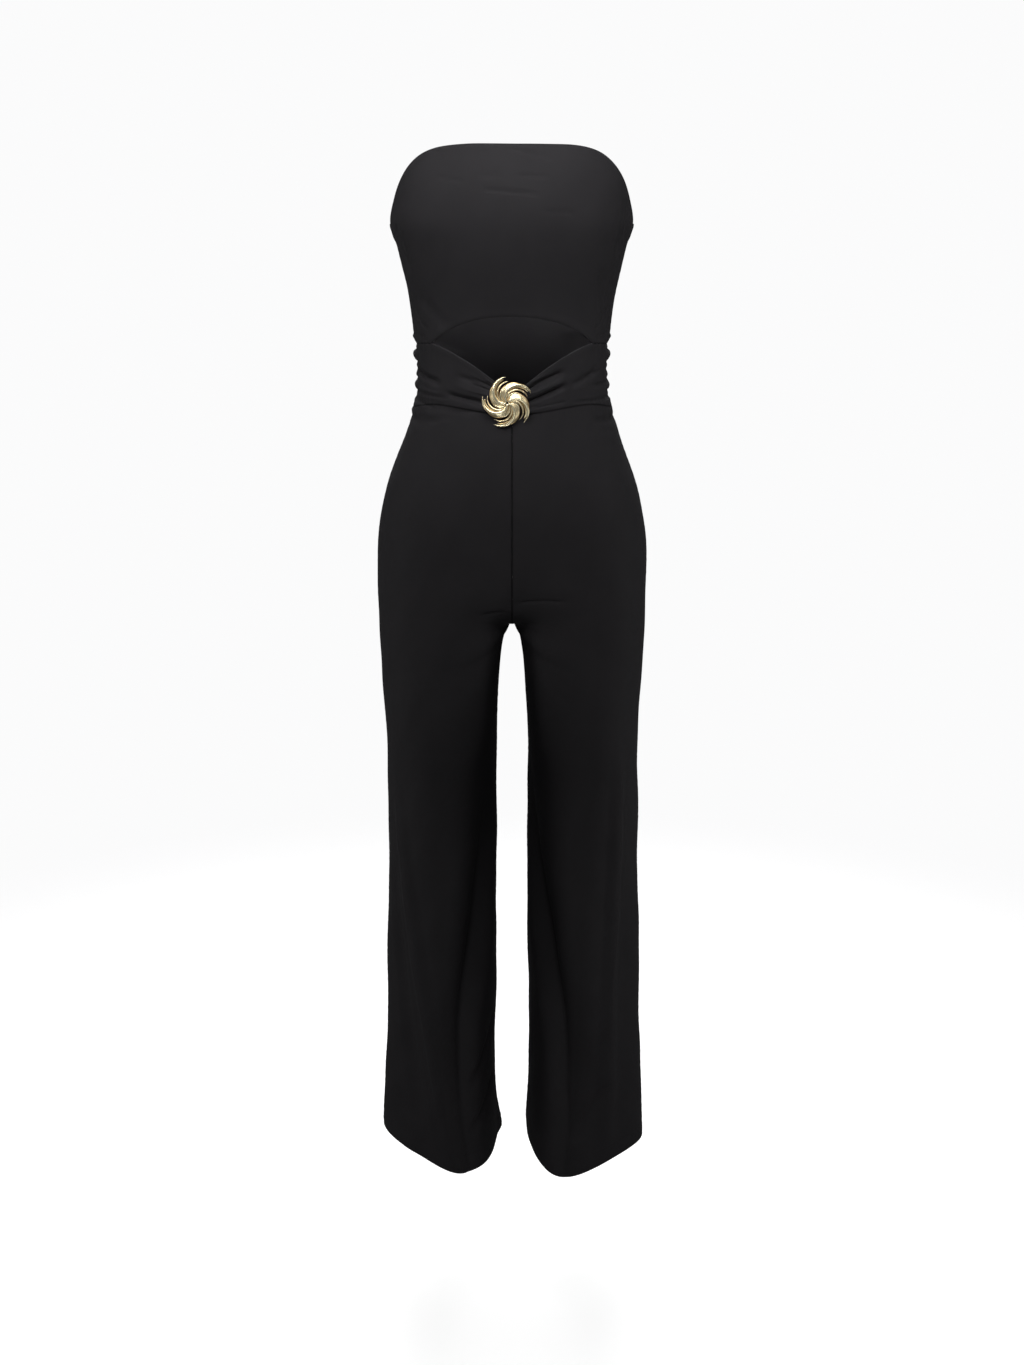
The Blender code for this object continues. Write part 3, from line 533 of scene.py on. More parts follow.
def breakOn(side, height, turn):
    beside = pastBreak(side, height, turn)
    outer = np.clip(1 - beside / breakLook["outer"], 0, 1) ** breakLook["power"]
    shape = np.where(beside > 0, outer, bump(beside, along(breaks[side], "inner", height)))
    return -along(breaks[side], "depth", height) * shape


# painted shade in a leg's break and between it and the inseam, where the fold and the other leg
# shade the cloth
def breakPaintedShade(side, height, turn):
    look = breakLook
    row = crotch["row"]
    beside = pastBreak(side, height, turn)
    line = along(breaks[side], "line", height)
    strip = along(breaks[side], "strip", height)
    wider = 1 + look["thighWider"] * ease(look["thighFrom"], look["thighTo"], height)
    narrower = 1 - (1 - look["crotchShare"]) * ease(look["crotchFrom"], row, height)
    reach = look["shade"] * wider * narrower
    outer = line * np.clip(1 - beside / reach, 0, 1) ** look["shadePower"]
    inner = strip + (line - strip) * bump(beside, look["lineWidth"])
    return np.where(beside > 0, outer, inner) * (1 - ease(row, row + look["fadeAbove"], height))


def relief(rows, side, height, turn):
    # the folds, with those that cross a centre seam or an inseam
    other = "right" if side == "left" else "left"
    crossing = np.where(
        height > crotch["row"],
        foldsOn(rows, other, height, -turn) + foldsOn(rows, other, height, 2 - turn),
        foldsOn(rows, side, height, turn - 1) + foldsOn(rows, side, height, turn + 1),
    )
    return foldsOn(rows, side, height, turn) + crossing


# slow swells of hanging cloth: directions in waves per metre along x, y, z, and depth in metres
Swell = namedtuple("Swell", "x y z depth phase")
swells = [
    Swell(9.1, 3.7, 3.1, 0.00045, 0.4),
    Swell(-6.3, 8.9, 5.3, 0.00040, 2.1),
    Swell(17.0, -5.0, -8.3, 0.00022, 4.0),
    Swell(4.7, 21.0, 11.9, 0.00016, 1.3),
    Swell(-27.0, 9.0, 15.1, 0.00010, 5.2),
]


def swellAt(points):
    total = np.zeros(points.shape[:-1])
    for swell in swells:
        waves = points[..., 0] * swell.x + points[..., 1] * swell.y + points[..., 2] * swell.z
        total += swell.depth * np.sin(2 * math.pi * waves + swell.phase)
    return total


def halfSurface(side, height, turn, raised):
    # outer skin of one half and its unit normals
    out = normalsAt(height, turn)
    smooth = anyPoint(height, turn)
    lift = relief(mainFolds, side, height, turn) + relief(fineFolds, side, height, turn)
    lift = lift + breakOn(side, height, turn)
    lift = lift + raised + swellAt(smooth * [1 if side == "left" else -1, 1, 1])
    outer = smooth + out * lift[..., None]
    if side == "right":
        outer[..., 0] *= -1
        out[..., 0] *= -1
    return outer, out


def wholeSurface(height, turn, raised):
    # turns below 0 and above 1 lie on the wearer's right half
    height, turn, raised = np.broadcast_arrays(height, turn, raised)
    right = ((turn < 0) | (turn > 1))[..., None]
    own = np.where(turn < 0, -turn, np.where(turn > 1, 2 - turn, turn))
    leftOuter, leftOut = halfSurface("left", height, own, raised)
    rightOuter, rightOut = halfSurface("right", height, own, raised)
    return np.where(right, rightOuter, leftOuter), np.where(right, rightOut, leftOut)


def waistSeam(turn):
    own = np.minimum(np.abs(turn), 0.5)
    return cut["waistSeamLevel"] - cut["waistSeamSwing"] * np.cos(4 * math.pi * own)


def topLine(turn):
    across = np.sin(math.pi * np.abs(turn))
    rise = (1 - across ** cut["edgeRound"]) ** cut["edgeFall"]
    return cut["underarm"] + (cut["topEdge"] - cut["underarm"]) * rise


def stripLine(turn):
    share = ease(cut["cornerTurn"], 0.5, np.abs(turn))
    return cut["cornerHeight"] + (cut["stripEnd"] - cut["cornerHeight"]) * share


def archLine(turn):
    corner = cut["cornerTurn"]
    share = np.sin(math.pi * np.minimum(np.abs(turn), corner)) / math.sin(math.pi * corner)
    arch = cut["cutoutTop"] - (cut["cutoutTop"] - cut["cornerHeight"]) * share ** cut["archCurve"]
    return np.where(np.abs(turn) < corner, arch, stripLine(turn))


def veeLine(turn):
    fall = np.maximum(1 - np.abs(turn) / cut["cornerTurn"], 0)
    vee = cut["cornerHeight"] - (cut["cornerHeight"] - cut["veeBottom"]) * fall ** cut["veeCurve"]
    return np.where(np.abs(turn) < cut["cornerTurn"], vee, stripLine(turn))


# what the sewing does to the cloth beside it, in metres
sewing = {
    "seamDip": 0.0003,
    "seamReach": 0.0011,
    "shadeReach": 0.0011,
    "pucker": 0.00016,
    "puckerReach": 0.011,
    "puckerWave": 0.0085,
    "rimSteps": 5,
    "rimGrain": 0.0003,
    "edgeRoll": 0.0004,
    "edgeRollAt": 0.0035,
}


def closeSteps(length, spacing, nearStart, nearEnd):
    # distances from 0 to length, evenly spaced but closer beside a seam or an edge
    near = np.array([0.0, 0.0005, 0.0011, 0.0018, 0.0027, 0.0040])
    start = near if nearStart else near[:1]
    end = length - (near if nearEnd else near[:1])
    first = start[-1]
    last = end[-1]
    count = max(2, int(round((last - first) / spacing)))
    middle = np.linspace(first, last, count + 1)[1:-1]
    return np.concatenate([start, middle, end[::-1]]) / length


def dip(distance, level):
    # cloth drawn in beside a seam, with small uneven puckers
    wave = 2 * math.pi * level / sewing["puckerWave"]
    uneven = np.sin(wave) * (0.6 + 0.4 * np.sin(wave * 0.173 + 1.0))
    uneven = uneven + 0.5 * np.sin(wave * 0.61 + 2.0)
    near = np.exp(-((distance / sewing["puckerReach"]) ** 2))
    valley = np.exp(-((distance / sewing["seamReach"]) ** 2))
    return sewing["pucker"] * uneven * near - sewing["seamDip"] * valley


def edgeRoll(distance):
    # a turned edge: a soft ridge, and a faint step where the turning ends
    away = (distance - sewing["edgeRollAt"]) / sewing["edgeRollAt"]
    return sewing["edgeRoll"] * np.exp(-(away**2))


def sewnEdges(outer, sides, free):
    # draws each sewn side back by half the seam gap, and returns how near each point is to a seam,
    # which darkens the cloth there as painted shade
    near = np.zeros(outer.shape[:2])
    for edge, inside, rowwise in sides:
        cloth = outer if rowwise else outer.swapaxes(0, 1)
        step = cloth[inside] - cloth[edge]
        cloth[edge] += cut["seamGap"] / 2 * step / np.linalg.norm(step, axis=-1, keepdims=True)
        away = np.linalg.norm(cloth - cloth[edge], axis=-1)
        share = np.exp(-((away / sewing["shadeReach"]) ** 2))
        near = np.maximum(near, share * (1 - free) if rowwise else share.T)
    return near


def newPiece(name, points, faces, finish):
    mesh = bpy.data.meshes.new(name)
    mesh.from_pydata(points.tolist(), [], faces)
    mesh.shade_smooth()
    mesh.materials.append(finish)
    piece = bpy.data.objects.new(name, mesh)
    bpy.context.scene.collection.objects.link(piece)
    return piece


def paintShare(piece, name, shares):
    layer = piece.data.attributes.new(name, "FLOAT", "POINT")
    layer.data.foreach_set("value", shares.astype(np.float32).ravel())


def dress(piece, node):
    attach(piece, "root")
    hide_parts(node)
    return piece


def shellPiece(name, outer, out, thickness, paintedShade):
    # closed wall: the outer skin, a round rim, the inner skin and back over the other rim
    rows, columns, _ = outer.shape
    inner = outer - out * thickness[..., None]
    steps = sewing["rimSteps"]
    angles = np.linspace(0, math.pi, steps + 2)[1:-1]

    def rim(edge, inside):
        middle = (outer[edge] + inner[edge]) / 2
        away = outer[edge] - outer[inside]
        away /= np.linalg.norm(away, axis=-1, keepdims=True)
        half = thickness[edge][:, None] / 2
        flat = outer[edge] - middle
        return [middle + flat * math.cos(a) + away * half * math.sin(a) for a in angles]

    loop = np.concatenate([outer, rim(-1, -2), inner[::-1], rim(0, 1)[::-1]])
    count = len(loop)
    index = np.arange(count * columns).reshape(count, columns)
    below = np.roll(index, -1, axis=0)
    quads = np.stack([index[:, :-1], below[:, :-1], below[:, 1:], index[:, 1:]], axis=-1)
    # the two side walls, and the ends of both rims
    behind = index[rows + steps : 2 * rows + steps][::-1]
    first = [index[: rows - 1, 0], behind[:-1, 0], behind[1:, 0], index[1:rows, 0]]
    last = [index[: rows - 1, -1], index[1:rows, -1], behind[1:, -1], behind[:-1, -1]]
    faces = np.concatenate([quads.reshape(-1, 4), np.stack(first, -1), np.stack(last, -1)]).tolist()
    for run in (index[rows - 1 : rows + steps + 1], np.roll(index, steps + 1, axis=0)[: steps + 2]):
        faces += [run[:, 0].tolist(), run[::-1, -1].tolist()]
    piece = newPiece(name, loop.reshape(-1, 3), faces, blackJersey)

    # the knit's grain in metres across and down the cloth
    acrossStep = np.linalg.norm(np.diff(outer, axis=1), axis=-1).mean(axis=0)
    downStep = np.linalg.norm(np.diff(outer, axis=0), axis=-1).mean(axis=1)
    u = np.concatenate([[0], np.cumsum(acrossStep)])
    v = np.concatenate([[0], np.cumsum(downStep)])
    past = sewing["rimGrain"] * np.arange(1, steps + 1)
    down = np.concatenate([v, v[-1] + past, v[::-1], -past[::-1]])
    grain = np.stack([np.tile(u, count), -np.repeat(down, columns)], axis=-1)
    mesh = piece.data
    corners = np.zeros(len(mesh.loops), np.int32)
    mesh.loops.foreach_get("vertex_index", corners)
    layer = mesh.uv_layers.new(name="clothGrain")
    layer.uv.foreach_set("vector", grain[corners].astype(np.float32).ravel())
    # painted shade beside the seams and in the legs' breaks, kept in the seam attribute over both
    # skins and the rims
    low = np.repeat(paintedShade[-1:], steps, 0)
    high = np.repeat(paintedShade[:1], steps, 0)
    paintShare(piece, "seam", np.concatenate([paintedShade, low, paintedShade[::-1], high]))
    mesh.set_sharp_from_angle(angle=math.radians(60))
    return piece


def sewPiece(name, skins, seamRow=(-1, -2), free=0.0, paintedBreakShade=0.0, thicker=0.0):
    # one piece of cloth, drawn in at its two sides and along the seam row but for its free edge; the
    # cloth beside its seams and in a leg's break is darkened as painted shade
    outer, out = skins
    paintedShade = sewnEdges(outer, [(0, 1, False), (-1, -2, False), (*seamRow, True)], free)
    thickness = cut["clothWall"] + thicker + 0 * outer[..., 0]
    return shellPiece(name, outer, out, thickness, np.maximum(paintedShade, paintedBreakShade))


# Shader sums: a Wire is a socket, and adding or multiplying Wires adds the nodes.
class Wire:
    def __init__(self, tree, socket=None):
        self.tree = tree
        self.socket = socket

    def node(self, kind, settings=None, values=None, output=0):
        made = self.tree.nodes.new("ShaderNode" + kind)
        for key, value in (settings or {}).items():
            if key == "stops":
                ramp = made.color_ramp.elements
                while len(ramp) < len(value):
                    ramp.new(0.5)
                for stop, (place, colour) in zip(ramp, value):
                    stop.position = place
                    stop.color = colour
            else:
                setattr(made, key, value)
        for key, value in (values or {}).items():
            if isinstance(value, Wire):
                self.tree.links.new(value.socket, made.inputs[key])
            else:
                made.inputs[key].default_value = value
        return Wire(self.tree, made.outputs[output])

    def maths(self, operation, *values):
        return self.node("Math", {"operation": operation}, dict(enumerate(values)))

    def mix(self, first, second):
        # this wire as the share of the second colour
        return self.node("Mix", {"data_type": "RGBA"}, {0: self, 6: first, 7: second}, 2)

    def into(self, shader, name):
        self.tree.links.new(self.socket, shader.inputs[name])

    def __add__(self, other):
        return self.maths("ADD", self, other)

    def __sub__(self, other):
        return self.maths("SUBTRACT", self, other)

    def __rsub__(self, other):
        return self.maths("SUBTRACT", other, self)

    def __mul__(self, other):
        return self.maths("MULTIPLY", self, other)

    # sums and products are the same either way round
    __radd__ = __add__
    __rmul__ = __mul__


def newFinish(name, sockets):
    material = bpy.data.materials.new(name)
    material.use_nodes = True
    shader = material.node_tree.nodes["Principled BSDF"]
    for key, value in sockets.items():
        shader.inputs[key].default_value = value
    return material, shader, Wire(material.node_tree)


# black stretch jersey: colours, and the knit's wales and courses in metres; the seam colour is
# painted shade, laid beside seams and in the legs' breaks
jersey = {
    "deep": (0.0160, 0.0151, 0.0166, 1),
    "worn": (0.0235, 0.0222, 0.0240, 1),
    "seam": (0.0025, 0.0023, 0.0026, 1),
    "roughness": 0.62,
    "wale": 0.0008,
    "course": 0.0007,
    "knitDepth": 0.00006,
    "fuzzDepth": 0.00004,
}


def jerseyFinish():
    material, shader, start = newFinish(
        "blackJersey",
        {
            "Specular IOR Level": 0.08,
            "Sheen Weight": 0.01,
            "Sheen Roughness": 0.45,
            "Sheen Tint": (0.75, 0.72, 0.80, 1),
        },
    )
    grain = start.node("UVMap", {"uv_map": "clothGrain"})
    place = start.node("TexCoord", output=3)
    split = grain.node("SeparateXYZ", values={0: grain})
    down = Wire(split.tree, split.socket.node.outputs[1])
    across = split * (1 / jersey["wale"])
    rib = across * (2 * math.pi)
    rib = rib.maths("COSINE", rib)
    lean = across.maths("PINGPONG", across, 0.5)
    loops = down * (2 * math.pi / jersey["course"]) + lean * 5.0
    loops = loops.maths("SINE", loops)
    knit = (rib * 0.5 + 0.5) * (loops * 0.25 + 0.75)
    fuzz = start.node("TexNoise", values={"Vector": place, "Scale": 1400.0, "Detail": 2.0})
    cloudy = {"Vector": place, "Scale": 13.0, "Detail": 3.0, "Roughness": 0.6}
    cloud = start.node("TexNoise", values=cloudy)
    knitted = {"Strength": 1.0, "Distance": jersey["knitDepth"], "Height": knit}
    knitBump = start.node("Bump", values=knitted)
    fuzzy = {"Strength": 1.0, "Distance": jersey["fuzzDepth"], "Height": fuzz, "Normal": knitBump}
    fuzzBump = start.node("Bump", values=fuzzy)
    # painted shade: the seam attribute darkens the cloth towards the seam colour beside seams and in
    # the legs' breaks
    seam = start.node("Attribute", {"attribute_name": "seam"}, output=2)
    shade = cloud * 0.75 + fuzz * 0.15 + knit * 0.10
    colour = shade.mix(jersey["deep"], jersey["worn"])
    (seam * 0.9).mix(colour, jersey["seam"]).into(shader, "Base Color")
    (jersey["roughness"] + cloud * 0.12 - knit * 0.05 + seam * 0.3).into(shader, "Roughness")
    fuzzBump.into(shader, "Normal")
    return material


blackJersey = jerseyFinish()
print("stage: jersey ready")


# front of the tube top
bodiceFrontSizes = {
    "flat": (0.42, 0.225),
    "area": 0.0765,
    "girth": 0.42,
    "drop": 0.205,
    "spacing": 0.0026,
}


def makeBodiceFront():
    sizes = bodiceFrontSizes
    girth = sizes["girth"]
    corner = cut["cornerTurn"]
    turn = -0.5 + closeSteps(girth, sizes["spacing"], True, True)
    turn = np.sort(np.concatenate([turn, [-corner, corner]]))
    share = closeSteps(sizes["drop"], sizes["spacing"], True, True)
    top = topLine(turn)
    bottom = archLine(turn)
    height = top + (bottom - top) * share[:, None]
    turns = turn + 0 * height
    fromBottom = height - bottom
    free = np.abs(turns) < corner
    lift = dip((0.5 - np.abs(turns)) * girth, height) + edgeRoll(top - height)
    lift = lift + np.where(free, edgeRoll(fromBottom), dip(fromBottom, turns * girth))
    piece = sewPiece("bodiceFront", wholeSurface(height, turns, lift), free=free)
    dress(piece, "bodice_front")


makeBodiceFront()
print("stage: bodice front")


# back of the tube top, gathered on elastic along its top edge
bodiceBackSizes = {
    "flat": (0.43, 0.215),
    "area": 0.078,
    "girth": 0.40,
    "drop": 0.212,
    "spacing": 0.0028,
    "gatherWave": 0.0105,
    "gatherDepth": 0.0011,
    "gatherReach": 0.024,
    "middleShare": 0.75,
    "sideReach": 0.05,
}


def makeBodiceBack():
    sizes = bodiceBackSizes
    girth = sizes["girth"]
    turn = 0.5 + closeSteps(girth, sizes["spacing"], True, True)
    share = closeSteps(sizes["drop"], sizes["spacing"], True, True)
    top = cut["underarm"]
    bottom = waistSeam(0.5)
    height = top + (bottom - top) * share[:, None] + 0 * turn
    turns = turn + 0 * height
    fromTop = top - height
    fromSide = np.minimum(turns - 0.5, 1.5 - turns) * girth
    lift = dip(fromSide, height) + dip(height - bottom, turns * girth) + edgeRoll(fromTop)
    wave = 2 * math.pi * fromSide / sizes["gatherWave"]
    gather = np.sin(wave + 0.8 * np.sin(wave * 0.37) + 14 * fromTop)
    atSide = np.exp(-((fromSide / sizes["sideReach"]) ** 2))
    strong = sizes["middleShare"] + (1 - sizes["middleShare"]) * atSide
    fading = np.exp(-((fromTop / sizes["gatherReach"]) ** 2)) * ease(0, 0.008, fromSide)
    lift = lift + sizes["gatherDepth"] * gather * strong * fading
    piece = sewPiece("bodiceBack", wholeSurface(height, turns, lift))
    dress(piece, "bodice_back")


makeBodiceBack()
print("stage: bodice back")


# gathered bands that run from the side seams into the brooch; each gather is a fold of constant
# share down the band, with its half width and depth and the turn where it has faded
Gather = namedtuple("Gather", "share endShare width depth reach")
waistbandSizes = {
    "flat": (0.165, 0.105),
    "area": 0.0135,
    "girth": 0.33,
    "drop": 0.062,
    "across": 0.0013,
    "down": 0.0009,
    "left": [
        Gather(0.10, 0.08, 0.045, 0.0008, 0.12),
        Gather(0.19, 0.27, 0.050, -0.0016, 0.17),
        Gather(0.30, 0.36, 0.050, 0.0014, 0.13),
        Gather(0.41, 0.45, 0.045, -0.0012, 0.11),
        Gather(0.50, 0.52, 0.050, 0.0014, 0.12),
        Gather(0.61, 0.56, 0.050, -0.0020, 0.18),
        Gather(0.72, 0.68, 0.050, 0.0013, 0.12),
        Gather(0.81, 0.80, 0.045, -0.0012, 0.11),
        Gather(0.91, 0.90, 0.050, 0.0009, 0.14),
    ],
    "right": [
        Gather(0.08, 0.10, 0.045, 0.0008, 0.10),
        Gather(0.17, 0.30, 0.050, -0.0014, 0.17),
        Gather(0.29, 0.36, 0.055, 0.0012, 0.14),
        Gather(0.40, 0.42, 0.045, -0.0010, 0.10),
        Gather(0.50, 0.50, 0.050, 0.0011, 0.12),
        Gather(0.60, 0.58, 0.045, -0.0014, 0.13),
        Gather(0.70, 0.69, 0.050, 0.0012, 0.14),
        Gather(0.80, 0.795, 0.050, -0.0019, 0.23),
        Gather(0.92, 0.92, 0.050, 0.0009, 0.15),
    ],
}


def makeWaistband(side):
    sizes = waistbandSizes
    girth = sizes["girth"]
    corner = cut["cornerTurn"]
    turn = 0.5 * closeSteps(girth / 2, sizes["across"], False, True)
    turn = np.sort(np.append(turn, corner))
    share = closeSteps(sizes["drop"], sizes["down"], True, True)
    top = veeLine(turn)
    bottom = waistSeam(turn)
    height = top + (bottom - top) * share[:, None]
    turns = turn + 0 * height
    lift = cut["bandPile"] * (1 - ease(0.0, cut["bandPileTurn"], turns))
    for gather in sizes[side]:
        way = turns / gather.reach
        line = gather.share + (gather.endShare - gather.share) * np.clip(way, 0, 1)
        strength = np.clip(1 - way, 0, 1) ** 0.7 * (1 - ease(0.75, 1.0, way))
        lift = lift + gather.depth * bump(share[:, None] - line, gather.width) * strength
    lift = lift + dip((0.5 - turns) * girth, height)
    lift = lift + np.where(turns < corner, edgeRoll(top - height), dip(top - height, turns * girth))
    lift = lift + dip(height - bottom, turns * girth) * ease(0.0, 0.05, turns)
    skins = halfSurface(side, height, turns, lift)
    if side == "right":
        skins = [skin[:, ::-1] for skin in skins]
    piece = sewPiece("waistbandFront" + side.capitalize(), skins)
    dress(piece, "waistband_front_" + side)


for side in ("left", "right"):
    makeWaistband(side)
print("stage: waistbands")


# wide straight legs: hem level, how much lower the front hangs, and the tilt inwards
trouserSizes = {
    "hems": {"left": (-1.0505, 0.009, 0.010), "right": (-1.046, 0.0075, -0.0015)},
    "front": {"flat": (0.31, 1.03), "area": 0.278, "across": 0.0026, "down": 0.0036},
    "back": {"flat": (0.32, 1.03), "area": 0.281, "across": 0.0034, "down": 0.0040},
    "halfGirth": 0.295,
    "riseLength": 0.325,
    "legLength": 0.665,
    "creaseShares": (0.66, 0.79, 36),
    "hemDepth": 0.020,
    "hemThicker": 0.0009,
    "hemSwell": 0.0003,
    "stitchDip": 0.00022,
    "stitchGap": 0.0045,
    "stitchWidth": 0.0011,
}
# rows of the mesh above the hem, closest beside its two rows of stitches
hemRows = np.array([0, 1, 2.5, 5, 9, 13, 17, 18.5, 20, 21.5, 23, 24.5, 26, 29]) / 1000


def hemLine(turn, side):
    level, front, tilt = trouserSizes["hems"][side]
    angle = 2 * math.pi * turn
    return level - front * np.maximum(np.sin(angle), 0) ** 2 + tilt * np.cos(angle)


def makeTrouser(face, side):
    sizes = trouserSizes
    across = sizes[face]["across"]
    down = sizes[face]["down"]
    first = 0.0 if face == "front" else 0.5
    turn = first + 0.5 * closeSteps(sizes["halfGirth"], across, True, True)
    top = waistSeam(turn)
    hem = hemLine(turn, side)
    rise = closeSteps(sizes["riseLength"], down, True, False)
    # closer rows where the small creases beside the crotch cross
    closer = np.linspace(*sizes["creaseShares"])
    rise = np.concatenate([rise[rise < closer[0] - 0.004], closer, rise[rise > closer[-1] + 0.004]])
    fall = np.linspace(0, 1, int(sizes["legLength"] / down))
    above = top + (crotch["row"] - top) * rise[:, None]
    below = crotch["row"] + (hem + hemRows[-1] - crotch["row"]) * fall[1:, None]
    height = np.concatenate([above, below, hem + hemRows[-2::-1, None]])
    turns = turn + 0 * height
    girth = 2 * sizes["halfGirth"]
    fromHem = height - hem
    lift = dip(top - height, turns * girth)
    lift = lift + dip(np.minimum(turns - first, first + 0.5 - turns) * girth, height)
    for level in (sizes["hemDepth"], sizes["hemDepth"] + sizes["stitchGap"]):
        lift = lift - sizes["stitchDip"] * np.exp(-(((fromHem - level) / sizes["stitchWidth"]) ** 2))
    lift = lift + sizes["hemSwell"] * bump(fromHem - sizes["hemDepth"] * 0.45, sizes["hemDepth"] / 2)
    doubled = 1 - ease(sizes["hemDepth"] + 0.005, sizes["hemDepth"] + 0.007, fromHem)
    # the break's painted shade goes with the skins into the piece
    parts = [*halfSurface(side, height, turns, lift), breakPaintedShade(side, height, turns), doubled]
    if side == "right":
        parts = [part[:, ::-1] for part in parts]
    outer, out, paintedBreakShade, doubled = parts
    name = "trouser" + face.capitalize() + side.capitalize()
    thicker = sizes["hemThicker"] * doubled
    piece = sewPiece(name, (outer, out), seamRow=(0, 1), paintedBreakShade=paintedBreakShade, thicker=thicker)
    dress(piece, "trouser_" + face + "_" + side)


for side in ("left", "right"):
    for face in ("front", "back"):
        makeTrouser(face, side)
print("stage: trousers")


# the whirl brooch, about its own middle: +z of its frame faces forward
brooch = {
    "middle": (-0.0055, -0.026),
    "span": 0.060,
    "firstLeaf": math.radians(93),
    "leafCount": 5,
    "steps": 26,
    "around": 10,
    "root": 0.0012,
    "crown": 0.0007,
    "tipDrop": 0.0012,
    "keel": 0.0016,
    "alternateBarbShade": 0.16,
    "rounding": 0.0003,
    "plateRadius": 0.0150,
    "plateBack": 0.0015,
    "plateFront": 0.0030,
    "bossRadius": 0.0090,
}

# barbs of a leaf: how far the tip lies ahead of the leaf's own and its whirl, in degrees, its reach
# as a share, and half width, height of the ridge and lifts of root and tip, in metres
Barb = namedtuple("Barb", "ahead whirl reach width ridge lift tip")
barbs = [
    Barb(0, 105, 1.00, 0.0026, 0.0021, 0.0046, 0.0016),
    Barb(8, 103, 0.95, 0.0016, 0.0021, 0.0043, 0.0017),
    Barb(16, 100, 0.92, 0.0017, 0.0020, 0.0038, 0.0015),
    Barb(24, 98, 0.88, 0.0014, 0.0019, 0.0034, 0.0014),
    Barb(31, 95, 0.85, 0.0016, 0.0019, 0.0029, 0.0012),
    Barb(39, 92, 0.80, 0.0013, 0.0017, 0.0025, 0.0010),
    Barb(46, 88, 0.77, 0.0015, 0.0016, 0.0020, 0.0008),
    Barb(-6, 97, 0.82, 0.0015, 0.0019, 0.0036, 0.0014),
    Barb(-11, 90, 0.66, 0.0015, 0.0014, 0.0028, 0.0010),
    # broad low webs that join the barbs of a leaf
    Barb(6, 102, 0.90, 0.0036, 0.0007, 0.0030, 0.0010),
    Barb(22, 98, 0.86, 0.0040, 0.0006, 0.0024, 0.0008),
    Barb(38, 92, 0.76, 0.0038, 0.0005, 0.0016, 0.0004),
]


# pale gold: its colours from the crests down into the recesses, where the darker colours are painted
# shade
gold = {
    "metallic": 0.75,
    "roughness": 0.17,
    "colours": [
        (0.25, (1.0, 0.90, 0.60, 1)),
        (0.42, (0.82, 0.56, 0.24, 1)),
        (0.66, (0.10, 0.042, 0.011, 1)),
    ],
    "gritDepth": 0.00004,
}


def goldFinish():
    sockets = {"Metallic": gold["metallic"], "Specular IOR Level": 0.5}
    material, shader, start = newFinish("paleGold", sockets)
    # painted shade: the recess share darkens the gold from the crests down into the hollows, with a
    # little random mottle
    recess = start.node("Attribute", {"attribute_name": "recess"}, output=2)
    place = start.node("TexCoord", output=3)
    mottle = start.node("TexNoise", values={"Vector": place, "Scale": 420.0, "Detail": 3.0})
    grit = start.node("TexNoise", values={"Vector": place, "Scale": 2600.0, "Detail": 2.0})
    dark = recess * 0.8 + mottle * 0.2
    dark.node("ValToRGB", {"stops": gold["colours"]}, {0: dark}).into(shader, "Base Color")
    (gold["roughness"] + recess * 0.25 + mottle * 0.08).into(shader, "Roughness")
    rough = {"Strength": 0.35, "Distance": gold["gritDepth"], "Height": grit}
    start.node("Bump", values=rough).into(shader, "Normal")
    return material


paleGold = goldFinish()


def toFront(points):
    # from the brooch's own frame to the garment's, its back on the seat
    x, z = brooch["middle"]
    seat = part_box("brooch")[1].y
    return np.stack([points[..., 0] + x, seat - points[..., 2], points[..., 1] + z], axis=-1)


def barbGrid(leafAngle, barb):
    # rings of one curved barb, round its own keel, and how deep in the relief each point lies, which
    # sets its painted shade
    t = np.linspace(0, 1, brooch["steps"])
    root = brooch["root"]
    reach = barb.reach * brooch["span"] / 2
    radius = root + (reach - root) * np.sin(t * math.pi / 2)
    angle = leafAngle + np.radians(barb.ahead + barb.whirl * (1 - t) ** 1.15)
    x = radius * np.cos(angle)
    y = radius * np.sin(angle)
    crown = brooch["crown"] * np.sin(math.pi * np.clip(t * 1.15, 0, 1)) - brooch["tipDrop"] * t**3
    z = brooch["plateFront"] + barb.lift * (1 - t) ** 1.4 + barb.tip * t + crown
    spine = np.stack([x, y, z], axis=-1)
    ahead = np.gradient(spine, axis=0)
    ahead /= np.linalg.norm(ahead, axis=-1, keepdims=True)
    beside = np.cross(ahead, [0, 0, 1])
    beside /= np.linalg.norm(beside, axis=-1, keepdims=True)
    up = np.cross(beside, ahead)
    swell = np.sin(math.pi * np.clip(0.20 + 0.80 * t, 0, 0.5))
    swell = swell * (1 - 0.98 * np.clip((t - 0.375) / 0.625, 0, 1) ** 1.5)
    turns = np.linspace(0, 2 * math.pi, brooch["around"], endpoint=False)
    side = np.sign(np.cos(turns)) * np.abs(np.cos(turns)) ** 0.85
    upper = np.clip(np.sin(turns), 0, 1) ** 1.15
    rise = barb.ridge * upper + brooch["keel"] * np.clip(np.sin(turns), -1, 0)
    grid = (
        spine[:, None]
        + beside[:, None] * (swell[:, None] * side * barb.width)[..., None]
        + up[:, None] * (swell[:, None] * rise)[..., None]
    )
    deep = np.clip(1 - rise / barb.ridge, 0, 1) * (1 - 0.35 * t[:, None]) + 0 * grid[..., 0]
    return grid, np.clip(deep, 0, 1)


